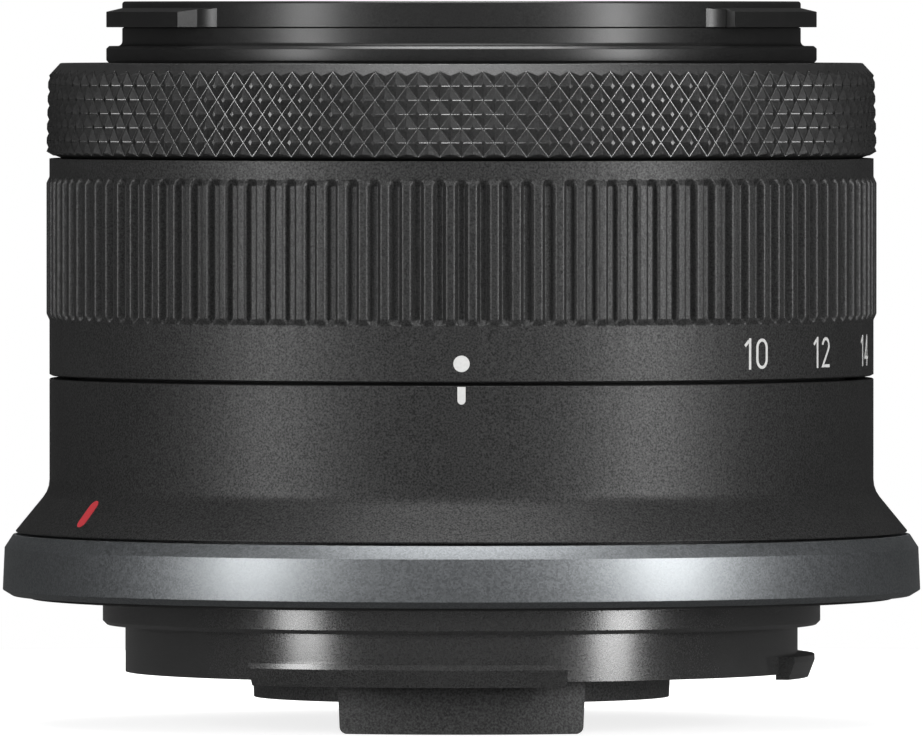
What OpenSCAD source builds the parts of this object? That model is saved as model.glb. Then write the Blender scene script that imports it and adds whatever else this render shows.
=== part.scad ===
// Retracting wide-angle zoom lens for a bayonet-mount camera, standing on its mount with the front up.
// Lengths are in millimetres and angles in degrees. The flange face of the mount lies at z = 0,
// the optical axis is +Z, and the side with the index marks faces -Y.

/* [Fits] */
// Radial gap between parts that slide or turn in each other
slide_fit = 0.1; // [0.06:0.01:0.14]
// Radial gap between parts that are fixed in each other
seat_fit = 0.03; // [0.02:0.01:0.06]
// Gap that shows between the outer rings
seam = 0.16; // [0.12:0.02:0.24]

/* [Mount] */
// Width of the flange plate round the spigot
flange_w = 5; // [4.6:0.1:5.4]
// Thickness of the flange plate
flange_t = 1.4; // [1.2:0.1:1.8]
// Height of the spigot below the flange face
spigot_h = 1.92; // [1.7:0.02:2.2]
// Step from the spigot in to the collar that carries the bayonet lugs
collar_step = 1.7; // [1.4:0.1:2]
// Depth of the collar below the flange face
collar_h = 5.46; // [5.2:0.02:5.8]
// Step from the spigot in to the rim of the bayonet lugs
lug_step = 0.4; // [0.1:0.1:0.7]
// Thickness of a bayonet lug at its root
lug_t = 1.7; // [1.4:0.1:1.9]
// Wall of the collar
collar_wall = 1.5; // [1.2:0.1:1.8]
// Radius of the hole for the camera's lock pin
lock_r = 1.6; // [1.4:0.1:1.8]
// Depth of the hole for the lock pin
lock_depth = 1.1; // [0.9:0.05:1.15]

/* [Accent ring] */
// Largest radius of the ring at the mount, which all the other radii follow
accent_r = 34.5; // [34.3:0.1:35.5]
// How far the ring stands out past the flange plate
accent_w = 2.5; // [2.3:0.1:2.8]
// Height of its top edge above the flange face
accent_top = 4.75; // [4.5:0.05:5.2]
// Height of its lower edge above the flange face
accent_foot = 0.26; // [0.2:0.02:0.4]

/* [Rear barrel] */
// Step from the accent ring in to the fixed barrel and to the smooth bands of the rings
barrel_inset = 3.5; // [3.2:0.1:3.8]
// Height of the fixed barrel
barrel_h = 11.7; // [11:0.1:12.5]
// Step from the accent ring in to the flared foot
flare_inset = 0.9; // [0.7:0.1:1.3]
// Angle of the flare to the axis
flare_angle = 39; // [34:1:42]
// Radius of the bend into the flare
flare_bend = 2.1; // [1.5:0.1:3]
// Wall of the fixed barrel
barrel_wall = 1.1; // [0.9:0.1:1.3]

/* [Zoom ring] */
// Width of the zoom ring along the axis
zoom_w = 16.4; // [16:0.1:17.5]
// Wall of the zoom ring at its smooth bands
zoom_wall = 2.1; // [1.9:0.1:2.2]
// Number of grip ribs
rib_count = 120; // [90:2:124]
// Smooth band under the ribs
rib_start = 4.2; // [3.6:0.1:4.6]
// Smooth band above the ribs
rib_end = 1.44; // [1.2:0.02:2]
// Height of the ribs above the smooth bands
rib_rise = 0.22; // [0.1:0.02:0.3]
// Depth of the grooves between the ribs
groove_depth = 0.62; // [0.45:0.01:0.7]
// Width of a groove at the top of the ribs
groove_w = 0.98; // [0.8:0.02:1]
// Width of a groove at its floor
groove_floor_w = 0.44; // [0.3:0.02:0.5]

/* [Control ring] */
// Width of the control ring along the axis
control_w = 7; // [6.8:0.1:7.6]
// Number of knurl points in a row
knurl_count = 120; // [96:2:124]
// Height of the knurl points above the smooth bands
knurl_rise = 0.2; // [0.1:0.02:0.3]
// Depth of the knurl
knurl_depth = 0.44; // [0.3:0.02:0.5]
// Step from the smooth bands in to the top edge of the ring
control_step = 1; // [0.8:0.1:1.3]
// Number of click notches inside the ring
click_count = 60; // [48:6:72]

/* [Front barrel] */
// Height of the nose above the control ring
nose_h = 4.5; // [4.3:0.1:5]
// How far the hood bayonet stands out past the sliding tube
hood_step = 0.18; // [0.16:0.02:0.46]
// Depth of the groove of the hood bayonet
hood_depth = 1.2; // [1.02:0.02:1.32]
// Angle that each hood lug spans
hood_lug_span = 78; // [66:2:84]
// Wall between the hood bayonet's groove and the crests of the filter thread
filter_wall = 1.42; // [1.32:0.02:1.62]
// Depth of the filter thread
filter_depth = 3.4; // [3.2:0.1:3.6]
// Wall of the sliding tube
tube_wall = 1.3; // [1.1:0.1:1.5]

/* [Motion] */
// Turn of the zoom ring from its storage position to the long end
zoom_turn = 106; // [96:1:110]
// Travel of the front barrel over that turn
front_travel = 12; // [10:0.5:12.5]
// Travel of the rear group over that turn
rear_travel = 5; // [4:0.5:5.5]
// Travel of the focusing element
focus_travel = 3; // [2:0.25:3.25]
// Turn of the iris ring from fully open to closed
iris_turn = 20; // [16:1:24]
// Turn of each iris blade over that
blade_turn = 25; // [20:1:27]

/* [Hidden] */
$fn = 96;
// Direction of the side that carries the index marks
NEAR = -90;
// Overlap of a cutter past the face that it cuts
CUT = 1;
// Steps in a bend of a turned profile
BEND_STEPS = 8;

// Radii from the accent ring inwards
flange_r = accent_r - accent_w;
spigot_r = flange_r - flange_w;
collar_r = spigot_r - collar_step;
lug_r = spigot_r - lug_step;
mount_bore_r = collar_r - collar_wall;
flare_r = accent_r - flare_inset;
barrel_r = accent_r - barrel_inset;
zoom_bore = barrel_r - zoom_wall;
cam_r = zoom_bore - 2 * seat_fit;
cam_wall = 0.95;
cam_bore = cam_r - cam_wall;
guide_r = cam_bore - slide_fit;
guide_wall = 1.15;
guide_bore = guide_r - guide_wall;
tube_r = guide_bore - slide_fit;
tube_bore = tube_r - tube_wall;
barrel_bore = barrel_r - barrel_wall;
rib_r = barrel_r + rib_rise;
groove_floor_r = rib_r - groove_depth;
knurl_r = barrel_r + knurl_rise;
valley_r = knurl_r - knurl_depth;
control_edge_r = barrel_r - control_step;
hood_r = tube_r + hood_step;
rim_r = hood_r - hood_depth;
filter_r = rim_r - filter_wall;

// Heights from the flange upwards
foot_t = 1.4;
foot_top = flange_t + foot_t;
barrel_bottom = accent_top + seam;
barrel_top = barrel_bottom + barrel_h;
zoom_bottom = barrel_top + seam;
zoom_top = zoom_bottom + zoom_w;
control_bottom = zoom_top + seam;
control_top = control_bottom + control_w;
nose_bottom = control_top + seam / 2;
front_z = nose_bottom + nose_h;

// Bayonet lugs as [first angle, span]
LUGS = [[NEAR - 36.5, 53.8], [NEAR + 69.5, 56.5], [NEAR + 178, 58]];
lug_drop = 0.39;
lug_bottom = -collar_h - lug_drop;
lug_top = lug_bottom + lug_t;
lug_root = 0.2;
lug_slope = 0.5;
lug_band = 0.4;
lug_edge = 0.02;
spigot_chamfer = 0.3;
ledge_w = 4.8;
ledge_r = mount_bore_r - ledge_w;
ledge_bottom = -2.2;
ledge_t = 1.3;
ledge_top = ledge_bottom + ledge_t;
well_wall = 2;
well_r = spigot_r - well_wall;
lock_angle = NEAR - 75;
lock_seat_r = (flange_r + spigot_r) / 2;

// Screws of the mount and of the rear baffle
screw_count = 4;
first_screw = 45;
screw_seat_r = lock_seat_r;
screw_r = 0.8;
screw_head_r = 1.6;
screw_head_h = 0.7;
screw_sink = 0.1;
cross_w = 0.45;
cross_share = 0.62;
cross_depth = 0.4;
baffle_screw_angles = [0, 90, 180];
baffle_screw_inset = 2.8;
baffle_screw_seat_r = mount_bore_r - baffle_screw_inset;
baffle_screw_r = 0.6;
baffle_head_r = 1.1;
baffle_head_h = 0.5;

// Grey accent ring
accent_edge_w = 0.7;
accent_edge_h = 0.57;
accent_edge_r = accent_r - accent_edge_w;
accent_taper = 0.15;
accent_shoulder_r = accent_r - accent_taper;
accent_shoulder_drop = 0.98;
accent_lip = 0.15;
accent_lip_r = flange_r - accent_lip;
foot_r = accent_lip_r - 2 * seat_fit;
accent_rest = 0.3;
accent_bore_r = flange_r + accent_rest;

// Fixed barrel
flare_corner = barrel_bottom + (flare_r - barrel_r) / tan(flare_angle);
skirt_r = accent_bore_r - seat_fit;
skirt_wall = 1.4;
skirt_bore = skirt_r - skirt_wall;
skirt_bottom = foot_top + seat_fit;
skirt_slope = 0.3;
skirt_top = barrel_bottom - skirt_slope;
barrel_floor_t = 1.4;
barrel_bore_start = barrel_bottom + barrel_floor_t;

// Zoom ring
rib_bottom = zoom_bottom + rib_start;
rib_top = zoom_top - rib_end;
rib_ramp = 0.46;
groove_past = 0.4;
groove_out_r = rib_r + groove_past;

// Cam barrel, its rollers and its drive
cam_rise = 1.6;
cam_bottom = foot_top + cam_rise;
cam_drop = 0.2;
cam_top = zoom_top - cam_drop;
roller_r = 1;
roller_play = 0.2;
roller_inset = 0.1;
roller_reach = cam_r - roller_inset;
slot_steps = 14;
cam_margin = 1.6;
front_roller_z = cam_top - cam_margin - front_travel;
rear_roller_rise = 3.4;
rear_roller_z = cam_bottom + rear_roller_rise;
FRONT_ROLLERS = [30, 150, 270];
REAR_ROLLERS = [90, 210, 330];
KEYS = [60, 180, 300];
key_w = 2;
key_h = 2;
key_drop = 0.6;
key_top = zoom_top - key_drop;
key_depth = 0.5;
scale_t = 0.2;
scale_drop = 5.6;
scale_bottom = barrel_top - scale_drop;
scale_h = 3;
scale_start = 100;
scale_span = 125;
brush_angle = 95;
brush_w = 5;

// Control ring and what it runs on
relief = 0.9;
relief_r = guide_r + relief;
bead_rise = 3;
bead_t = 1.1;
bead_bottom = control_bottom + bead_rise;
bead_top = bead_bottom + bead_t;
bead_r = guide_r + slide_fit;
retainer_r = relief_r - slide_fit;
retainer_bottom = bead_top + slide_fit;
retainer_h = 1.1;
lip_t = 0.85;
lip_bottom = control_top - lip_t;
lip_bore = tube_r + slide_fit;
guide_gap = 0.3;
guide_top = lip_bottom - guide_gap;
knurl_rows = 6;
knurl_foot_h = 0.18;
knurl_bevel_h = 0.62;
knurl_top = control_top - knurl_bevel_h;
knurl_bevel_w = 0.66;
knurl_band_r = control_edge_r + knurl_bevel_w;
knurl_edge_h = 0.14;
knurl_edge_w = 0.2;
knurl_edge_r = control_edge_r + knurl_edge_w;
click_rise = 0.25;
click_bottom = control_bottom + click_rise;
click_h = 1.5;
click_w = 0.45;
click_r = relief_r - click_w;
notch_r = 0.4;
notch_depth = 0.22;
spring_t = 0.2;
spring_span = 34;
spring_angle = 200;
spring_margin = 2;
spring_pocket = 0.5;
spring_pocket_r = guide_r - spring_pocket;
spring_bump_r = 0.35;
sensor_angle = 20;
sensor_w = 4;
sensor_gap = 0.2;
sensor_bottom = click_bottom + click_h + sensor_gap;
sensor_h = 0.9;
ring_scale_t = 0.12;
sensor_r = relief_r - ring_scale_t - 2 * slide_fit;

// Nose of the front barrel
hood_flange_h = 1.2;
hood_lug_rise = 1.17;
hood_edge_h = 0.78;
hood_groove_h = nose_h - hood_flange_h - hood_lug_rise - hood_edge_h;
hood_lug_slope = 0.36;
hood_chamfer = 0.18;
hood_fillet = 0.25;
rim_step = 0.1;
rim_round = 0.3;
hood_flange_top = nose_bottom + hood_flange_h;
hood_lug_bottom = hood_flange_top + hood_groove_h;
hood_lug_top = hood_lug_bottom + hood_lug_rise;
filter_floor = front_z - filter_depth;
filter_chamfer = 0.4;
bezel_flange_t = 0.7;
bezel_inset = 0.5;
bezel_flange_r = filter_r - bezel_inset;
bezel_floor = filter_floor - bezel_flange_t - seat_fit;
shoulder_t = 0.8;
shoulder_bottom = bezel_floor - shoulder_t;
shoulder_w = 1.5;
shoulder_bore = filter_r - shoulder_w;
tube_tail = 0.5;
tube_bottom = front_roller_z - roller_r - tube_tail;

// Front glass and its cell
cell_play = 0.1;
cell_wall = 3;
cell_flange_r = tube_bore - seat_fit;
cell_flange_t = 1.6;
cell_r = shoulder_bore - cell_play;
cell_floor_t = 1.5;
cell_neck_wall = 2;
first_r = cell_r - cell_wall;
first_rise = 1;
first_apex = shoulder_bottom + first_rise;
first_sag = 3.26;
first_ball = dome(first_r, first_sag);
first_hollow_r = 14.2;
first_hollow_ball = 20;
first_h = 7.5;
first_seat = first_apex - first_h;
second_r = 13.5;
second_drop = 0.9;
second_apex = first_seat - second_drop;
second_ball = 45;
second_hollow_r = 10.6;
second_hollow_ball = 14;
second_h = 6;
second_seat = second_apex - second_h;
third_r = 11;
third_rise = 1.2;
third_apex = second_seat + third_rise;
third_ball = 22;
third_h = 3.9;
third_bottom = third_apex - third_h;
third_stop_t = 0.6;
third_stop = second_seat - third_stop_t;
third_lip = 0.6;
third_stop_r = third_r - third_lip;
third_ring_t = 0.9;
cell_neck_r = second_r + cell_neck_wall;
cell_tail_r = third_r + cell_neck_wall;
cell_bottom = third_bottom - third_ring_t;
clamp_bore = cell_r + seat_fit;
clamp_h = 1.5;
bezel_lap = 0.8;
bezel_bore = first_r - bezel_lap;
bezel_skirt_r = first_r - seat_fit;
bezel_play = 0.11;
bezel_skirt_z = first_apex - first_ball + sqrt(pow(first_ball, 2) - pow(bezel_bore, 2)) + bezel_play;
bezel_edge_h = 0.78;
bezel_cone_z = bezel_skirt_z + bezel_edge_h;
bezel_rest = shoulder_bottom + seat_fit;
bezel_top = filter_floor;
bezel_steps = 6;
bezel_ledge = 0.5;
bezel_stair_out = shoulder_bore - bezel_ledge;
bezel_floor_w = 0.2;
bezel_stair_in = bezel_skirt_r + bezel_floor_w;
bezel_floor_h = 0.45;
bezel_stair_z = bezel_rest + bezel_floor_h;

// Rear group
frame_half_h = 2.8;
frame_bottom = rear_roller_z - frame_half_h;
frame_top = rear_roller_z + frame_half_h;
frame_wall = 3.34;
frame_ring_bore = tube_r - frame_wall;
web_t = 1.5;
web_bottom = frame_top - web_t;
glass_r = 8;
core_wall = 2.5;
core_r = glass_r + core_wall;
core_h = 6.4;
core_top = frame_top + core_h;
core_bore = glass_r + seat_fit;
core_lip = 0.8;
core_stop_r = glass_r - core_lip;
core_stop_t = 0.8;
fourth_seat = web_bottom + core_stop_t;
fourth_h = 3;
fourth_edge = 1.4;
glass_gap = 0.1;
fifth_seat = fourth_seat + fourth_h + glass_gap;
fifth_edge = 1.5;
fifth_h = 3.1;

// Iris
iris_floor_t = 0.8;
iris_wall = 0.7;
iris_open_r = 7.3;
blade_w = 3.1;
blade_t = 0.12;
blade_pitch = 0.2;
blade_count = 7;
blade_span = 100;
blade_gap = 360 / blade_count;
pivot_r = 11.4;
pivot_pin_r = 0.5;
pivot_play = 0.05;
ear_r = 1;
tail_angle = 10;
tail_pin_r = 0.4;
tail_play = 0.28;
iris_play = 0.1;
iris_floor_top = core_top + iris_floor_t;
blade_floor = iris_floor_top + iris_play;
blade_top = blade_floor + blade_count * blade_pitch;
iris_ring_bottom = blade_top + iris_play;
iris_ring_t = 0.6;
iris_ring_top = iris_ring_bottom + iris_ring_t;
iris_ring_bore = 8.4;
lid_play = 0.15;
iris_lid_bottom = iris_ring_top + lid_play;
iris_lid_t = 0.6;
pivot_top = blade_top + iris_play / 2;

// Teeth of the iris drive
ring_rim = 2.2;
ring_pitch_r = pivot_r + ring_rim;
ring_teeth = 68;
pinion_teeth = 10;
tooth_module = 2 * ring_pitch_r / ring_teeth;
iris_rim = 1.4;
iris_r = ring_pitch_r + iris_rim;
pressure_angle = 25;
tooth_top = 0.7;
tooth_root = 0.95;
backlash = 0.1;
flank_steps = 4;
sector_margin = 2;
teeth_before = ceil(iris_turn * ring_teeth / 360) + sector_margin;
pinion_pitch_r = pinion_teeth * tooth_module / 2;
gear_distance = ring_pitch_r + pinion_pitch_r;
pinion_angle = -30;
iris_motor_r = 2.6;
iris_motor_gap = 0.2;
iris_motor_top = core_top - iris_motor_gap;
shaft_r = 0.45;
shaft_depth = 1.1;

// Focus drive
sleeve_h = 3.6;
focus_gap = 0.3;
focus_z = web_bottom - focus_gap - focus_travel - sleeve_h;
board_play = 0.25;
board_w = 6.89;
board_r = guide_bore - board_play;
board_bore = board_r - board_w;
end_plate_t = 0.8;
end_plate_gap = 0.4;
end_plate_top = focus_z - end_plate_gap;
end_plate_play = 0.9;
end_plate_r = board_bore - end_plate_play;
rod_r = 0.8;
rod_inset = 4.2;
rod_y = 4;
ROD_XY = [end_plate_r - rod_inset, rod_y];
rod_seat_depth = 0.8;
rod_margin = 2.75;
end_plate_bore = norm(ROD_XY) - rod_margin;
sleeve_r = 1.8;
arm_w = 2.2;
arm_h = 1.6;
screw_inset = 1.6;
screw_y = end_plate_r - screw_inset;
lead_r = 0.8;
nut_r = 1.6;
focus_motor_r = 3;
focus_motor_h = 5.6;
rotor_depth = 2;
focus_r = 8.5;
focus_wall = 2.1;
focus_ring_r = focus_r + focus_wall;
focus_glass_seat = 0.7;
focus_glass_edge = 1.6;
focus_glass_h = 2.7;
focus_lip = 0.7;
focus_stop_r = focus_r - focus_lip;

// Rear baffle, contact block and circuit board
block_gap = 0.6;
block_d = 4.6;
block_outer_r = mount_bore_r - block_gap;
block_inner_r = block_outer_r - block_d;
baffle_end = -7.36;
baffle_gap = 2.77;
baffle_taper = 0.21;
baffle_r = block_inner_r - baffle_gap;
baffle_end_r = baffle_r - baffle_taper;
baffle_floor = -3.4;
baffle_wall_t = 1.05;
baffle_flange_r = mount_bore_r - seat_fit;
rear_wall = 3.33;
rear_r = baffle_r - rear_wall;
gate_side = 6.4;
gate_w = 2 * rear_r - gate_side;
gate_drop = 5.2;
gate_h = gate_w - gate_drop;
gate_corner = 1.5;
rear_bore = rear_r + seat_fit;
rear_seat = baffle_end + baffle_wall_t;
rear_edge = 2;
rear_h = 3.4;
rear_ring_w = 1.3;
rear_ring_bore = rear_r - rear_ring_w;
rear_ring_t = 0.9;
block_end = -9.42;
block_half_w = 9.32;
block_end_half_w = 9.05;
block_corner = 0.55;
pin_count = 12;
pin_pitch = 3.7;
pin_w = 0.9;
pin_len = 1.9;
pin_t = 0.25;
pin_inset = 2;
pin_seat_r = block_outer_r - pin_inset;
board_t = 0.8;
board_top = flange_t + board_t;
CHIPS = [[40, 5, 4], [150, 4, 3], [205, 6, 3.4], [300, 3, 3]];
chip_h = 0.9;
chip_inset = 3.59;
chip_seat_r = board_r - chip_inset;
flex_y = pin_seat_r;
flex_w = 8;
flex_t = 0.3;
flex_play = 0.3;

// Every node of the part
// Node to build, or all of them

// Colours of the groups of parts
BLACK = [0.09, 0.09, 0.095];
SATIN = [0.13, 0.13, 0.135];
GREY = [0.5, 0.51, 0.54];
STEEL = [0.72, 0.73, 0.75];
BRASS = [0.8, 0.63, 0.3];
GLASS = [0.75, 0.86, 0.95, 0.55];
BOARD = [0.1, 0.32, 0.2];

// Solid turned round the optical axis from a half profile of [radius, height] points
module turned(profile) {
    rotate_extrude() polygon(profile);
}

// Plain ring between two radii
module band(outer, inner, bottom, height) {
    turned([[inner, bottom], [outer, bottom], [outer, bottom + height], [inner, bottom + height]]);
}

// Copies of the children at each of the angles
module at_angles(angles) {
    for (angle = angles) rotate(angle) children();
}

// Evenly spread angles
function spread(count, first) = [for (i = [0:count - 1]) first + i * 360 / count];

// Points of a bend about a centre, from one angle to another
function bend(centre, radius, from, to) = [for (i = [0:BEND_STEPS])
    let (angle = from + (to - from) * i / BEND_STEPS)
    centre + radius * [cos(angle), sin(angle)]];

// Pan-head screw that points up, with a cross recess in its head
module screw(bottom, head_r, head_h, shank_r, top) {
    difference() {
        translate([0, 0, bottom]) cylinder(r = head_r, h = head_h);
        for (turn = [0, 90])
            rotate(turn)
                translate([-head_r * cross_share, -cross_w / 2, bottom - CUT])
                    cube([2 * head_r * cross_share, cross_w, cross_depth + CUT]);
    }
    translate([0, 0, bottom + head_h]) cylinder(r = shank_r, h = top - bottom - head_h);
}

// Glass with a domed top and a hollow underside
module meniscus(radius, seat, apex, ball, hollow_r, hollow_ball) {
    difference() {
        intersection() {
            translate([0, 0, seat]) cylinder(r = radius, h = apex - seat);
            translate([0, 0, apex - ball]) sphere(r = ball);
        }
        translate([0, 0, seat - sqrt(pow(hollow_ball, 2) - pow(hollow_r, 2))]) sphere(r = hollow_ball);
    }
}

// Ball radius of a dome of given rim radius and height
function dome(radius, height) = (pow(radius, 2) + pow(height, 2)) / (2 * height);

// Glass with a flat underside, a straight edge and a domed top
module plano_convex(radius, seat, edge, height) {
    ball = dome(radius, height - edge);
    intersection() {
        translate([0, 0, seat]) cylinder(r = radius, h = height);
        translate([0, 0, seat + height - ball]) sphere(r = ball);
    }
}

// Fixed parts at the mount

module bayonet_mount() {
    color(BLACK) difference() {
        union() {
            turned([[mount_bore_r, -collar_h], [collar_r, -collar_h], [collar_r, -spigot_h],
                [spigot_r - spigot_chamfer, -spigot_h], [spigot_r, spigot_chamfer - spigot_h],
                [spigot_r, 0], [flange_r, 0], [flange_r, flange_t], [well_r, flange_t],
                [well_r, ledge_top], [ledge_r, ledge_top], [ledge_r, ledge_bottom],
                [mount_bore_r, ledge_bottom]]);
            for (lug = LUGS)
                rotate(lug[0]) rotate_extrude(angle = lug[1])
                    polygon([[collar_r - lug_root, lug_bottom], [lug_r - lug_slope, lug_bottom],
                        [lug_r, lug_top - lug_band], [lug_r - lug_edge, lug_top],
                        [collar_r - lug_root, lug_top]]);
        }
        at_angles(spread(screw_count, first_screw)) translate([screw_seat_r, 0, 0]) {
            translate([0, 0, -CUT])
                cylinder(r = screw_head_r + seat_fit, h = CUT + screw_sink + screw_head_h);
            cylinder(r = screw_r + seat_fit, h = flange_t + CUT);
        }
        rotate(lock_angle) translate([lock_seat_r, 0, -CUT]) cylinder(r = lock_r, h = CUT + lock_depth);
        at_angles(baffle_screw_angles)
            translate([baffle_screw_seat_r, 0, ledge_bottom - CUT])
                cylinder(r = baffle_screw_r + seat_fit, h = 2 * CUT + ledge_top - ledge_bottom);
        translate([-flex_w / 2 - flex_play, -flex_y - flex_play, ledge_bottom - CUT])
            cube([flex_w + 2 * flex_play, flex_t + 2 * flex_play, 2 * CUT + ledge_top - ledge_bottom]);
    }
}

module mount_screws() {
    color(STEEL) at_angles(spread(screw_count, first_screw))
        translate([screw_seat_r, 0, 0])
            screw(screw_sink, screw_head_r, screw_head_h, screw_r, foot_top - seat_fit);
}

module accent_ring() {
    color(GREY) turned([[flange_r + seat_fit, accent_foot], [accent_edge_r, accent_foot],
        [accent_r, accent_foot + accent_edge_h], [accent_shoulder_r, accent_top - accent_shoulder_drop],
        [accent_edge_r, accent_top], [accent_bore_r, accent_top], [accent_bore_r, foot_top],
        [accent_lip_r, foot_top], [accent_lip_r, flange_t + seat_fit],
        [flange_r + seat_fit, flange_t + seat_fit]]);
}

module rear_barrel() {
    reach = flare_bend * tan(flare_angle / 2);
    color(BLACK) turned(concat(
        [[skirt_bore, skirt_bottom], [skirt_r, skirt_bottom], [skirt_r, barrel_bottom],
        [flare_r, barrel_bottom]],
        bend([barrel_r + flare_bend, flare_corner + reach], flare_bend, 180 + flare_angle, 180),
        [[barrel_r, barrel_top], [barrel_bore, barrel_top], [barrel_bore, barrel_bore_start],
        [skirt_bore, skirt_top]]));
}

module guide_barrel() {
    slot_w = 2 * (roller_r + slide_fit);
    color(SATIN) difference() {
        turned([[guide_bore, flange_t], [foot_r, flange_t], [foot_r, foot_top], [guide_r, foot_top],
            [guide_r, guide_top], [guide_bore, guide_top]]);
        at_angles(FRONT_ROLLERS) roller_slot(slot_w, front_roller_z, front_travel);
        at_angles(REAR_ROLLERS) roller_slot(slot_w, rear_roller_z, rear_travel);
        at_angles(spread(screw_count, first_screw))
            translate([screw_seat_r, 0, flange_t - CUT])
                cylinder(r = screw_r + seat_fit, h = foot_t + 2 * CUT);
        rotate(spring_angle - spring_span / 2) rotate_extrude(angle = spring_span)
            translate([spring_pocket_r, click_bottom]) square([guide_wall, click_h]);
    }
}

// Straight slot that keeps a roller from turning
module roller_slot(width, bottom, travel) {
    translate([guide_bore - CUT, -width / 2, bottom - width / 2])
        cube([guide_wall + 2 * CUT, width, travel + width]);
}

module control_retainer() {
    color(STEEL) band(retainer_r, guide_r + seat_fit, retainer_bottom, retainer_h);
}

module click_spring() {
    arm = spring_span - spring_margin;
    color(STEEL) {
        rotate(spring_angle - arm / 2) rotate_extrude(angle = arm)
            translate([spring_pocket_r + seat_fit, click_bottom + seat_fit])
                square([spring_t, click_h - 2 * seat_fit]);
        rotate(spring_angle)
            translate([spring_pocket_r + seat_fit + spring_bump_r, 0, click_bottom + seat_fit])
                cylinder(r = spring_bump_r, h = click_h - 2 * seat_fit);
    }
}

module ring_sensor() {
    color(BLACK) rotate(sensor_angle) intersection() {
        band(sensor_r, guide_r + seat_fit, sensor_bottom, sensor_h);
        translate([0, -sensor_w / 2, sensor_bottom]) cube([relief_r, sensor_w, sensor_h]);
    }
}

module zoom_brush() {
    color(BRASS) rotate(brush_angle) intersection() {
        band(barrel_bore - seat_fit, cam_r + scale_t + slide_fit, scale_bottom, scale_h);
        translate([0, -brush_w / 2, scale_bottom]) cube([barrel_r, brush_w, scale_h]);
    }
}

// Parts at the rear

module rear_baffle() {
    color(BLACK) difference() {
        turned([[0, baffle_end], [baffle_end_r, baffle_end], [baffle_r, baffle_floor],
            [baffle_flange_r, baffle_floor], [baffle_flange_r, ledge_bottom], [rear_bore, ledge_bottom],
            [rear_bore, rear_seat], [0, rear_seat]]);
        translate([0, 0, baffle_end - CUT]) linear_extrude(baffle_wall_t + 2 * CUT) gate();
        contact_outline(seat_fit);
        at_angles(baffle_screw_angles) translate([baffle_screw_seat_r, 0, baffle_floor]) {
            translate([0, 0, -CUT])
                cylinder(r = baffle_head_r + seat_fit, h = CUT + baffle_head_h + screw_sink);
            cylinder(r = baffle_screw_r + seat_fit, h = ledge_bottom - baffle_floor + CUT);
        }
    }
}

// Picture gate with rounded corners
module gate() {
    square([gate_w, gate_h - 2 * gate_corner], center = true);
    square([gate_w - 2 * gate_corner, gate_h], center = true);
    for (x = [-1, 1], y = [-1, 1])
        translate([x * (gate_w / 2 - gate_corner), y * (gate_h / 2 - gate_corner)]) circle(r = gate_corner);
}

module baffle_screws() {
    color(STEEL) at_angles(baffle_screw_angles) translate([baffle_screw_seat_r, 0, 0])
        screw(baffle_floor + screw_sink, baffle_head_r, baffle_head_h, baffle_screw_r, ledge_top);
}

module rear_element() {
    color(GLASS) plano_convex(rear_r, rear_seat, rear_edge, rear_h);
}

module rear_element_ring() {
    color(SATIN) band(rear_r, rear_ring_bore, rear_seat + rear_edge + rear_ring_t / 2, rear_ring_t);
}

// Block that holds the contacts, grown by a gap for the cutter that makes room for it
module contact_outline(gap) {
    width = block_half_w + gap;
    end_w = block_end_half_w + gap;
    intersection() {
        band(block_outer_r + gap, block_inner_r - gap, block_end, ledge_bottom - block_end);
        rotate([90, 0, 0]) linear_extrude(block_outer_r + CUT) polygon(concat(
            bend([block_corner - end_w, block_end + block_corner], block_corner, 180, 270),
            bend([end_w - block_corner, block_end + block_corner], block_corner, 270, 360),
            [[width, ledge_bottom], [-width, ledge_bottom]]));
    }
}

// Row of contact pads, grown by a gap for their pockets
module contact_row(gap) {
    for (i = [0:pin_count - 1])
        rotate(NEAR + (i - (pin_count - 1) / 2) * pin_pitch)
            translate([pin_seat_r - pin_len / 2 - gap, -pin_w / 2 - gap, block_end + seat_fit])
                cube([pin_len + 2 * gap, pin_w + 2 * gap, pin_t]);
}

module contact_block() {
    color(BLACK) difference() {
        contact_outline(0);
        contact_row(seat_fit);
        translate([0, 0, -pin_t / 2]) contact_row(seat_fit);
    }
}

module contact_pins() {
    color(BRASS) contact_row(0);
}

module contact_flex() {
    color(BRASS) translate([-flex_w / 2, -flex_y, ledge_bottom])
        cube([flex_w, flex_t, flange_t - ledge_bottom]);
}

module circuit_board() {
    color(BOARD) band(board_r, board_bore, flange_t, board_t);
}

module circuit_chips() {
    color(BLACK) for (chip = CHIPS)
        rotate(chip[0]) translate([chip_seat_r - chip[2] / 2, -chip[1] / 2, board_top])
            cube([chip[2], chip[1], chip_h]);
}

// Zoom ring and what turns with it

module zoom_ring() {
    color(BLACK) difference() {
        turned([[zoom_bore, zoom_bottom], [barrel_r, zoom_bottom], [barrel_r, rib_bottom],
            [rib_r, rib_bottom + rib_ramp], [rib_r, rib_top - rib_ramp], [barrel_r, rib_top],
            [barrel_r, zoom_top], [zoom_bore, zoom_top]]);
        grip_grooves();
        at_angles(KEYS) key_block(seat_fit);
    }
}

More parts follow.
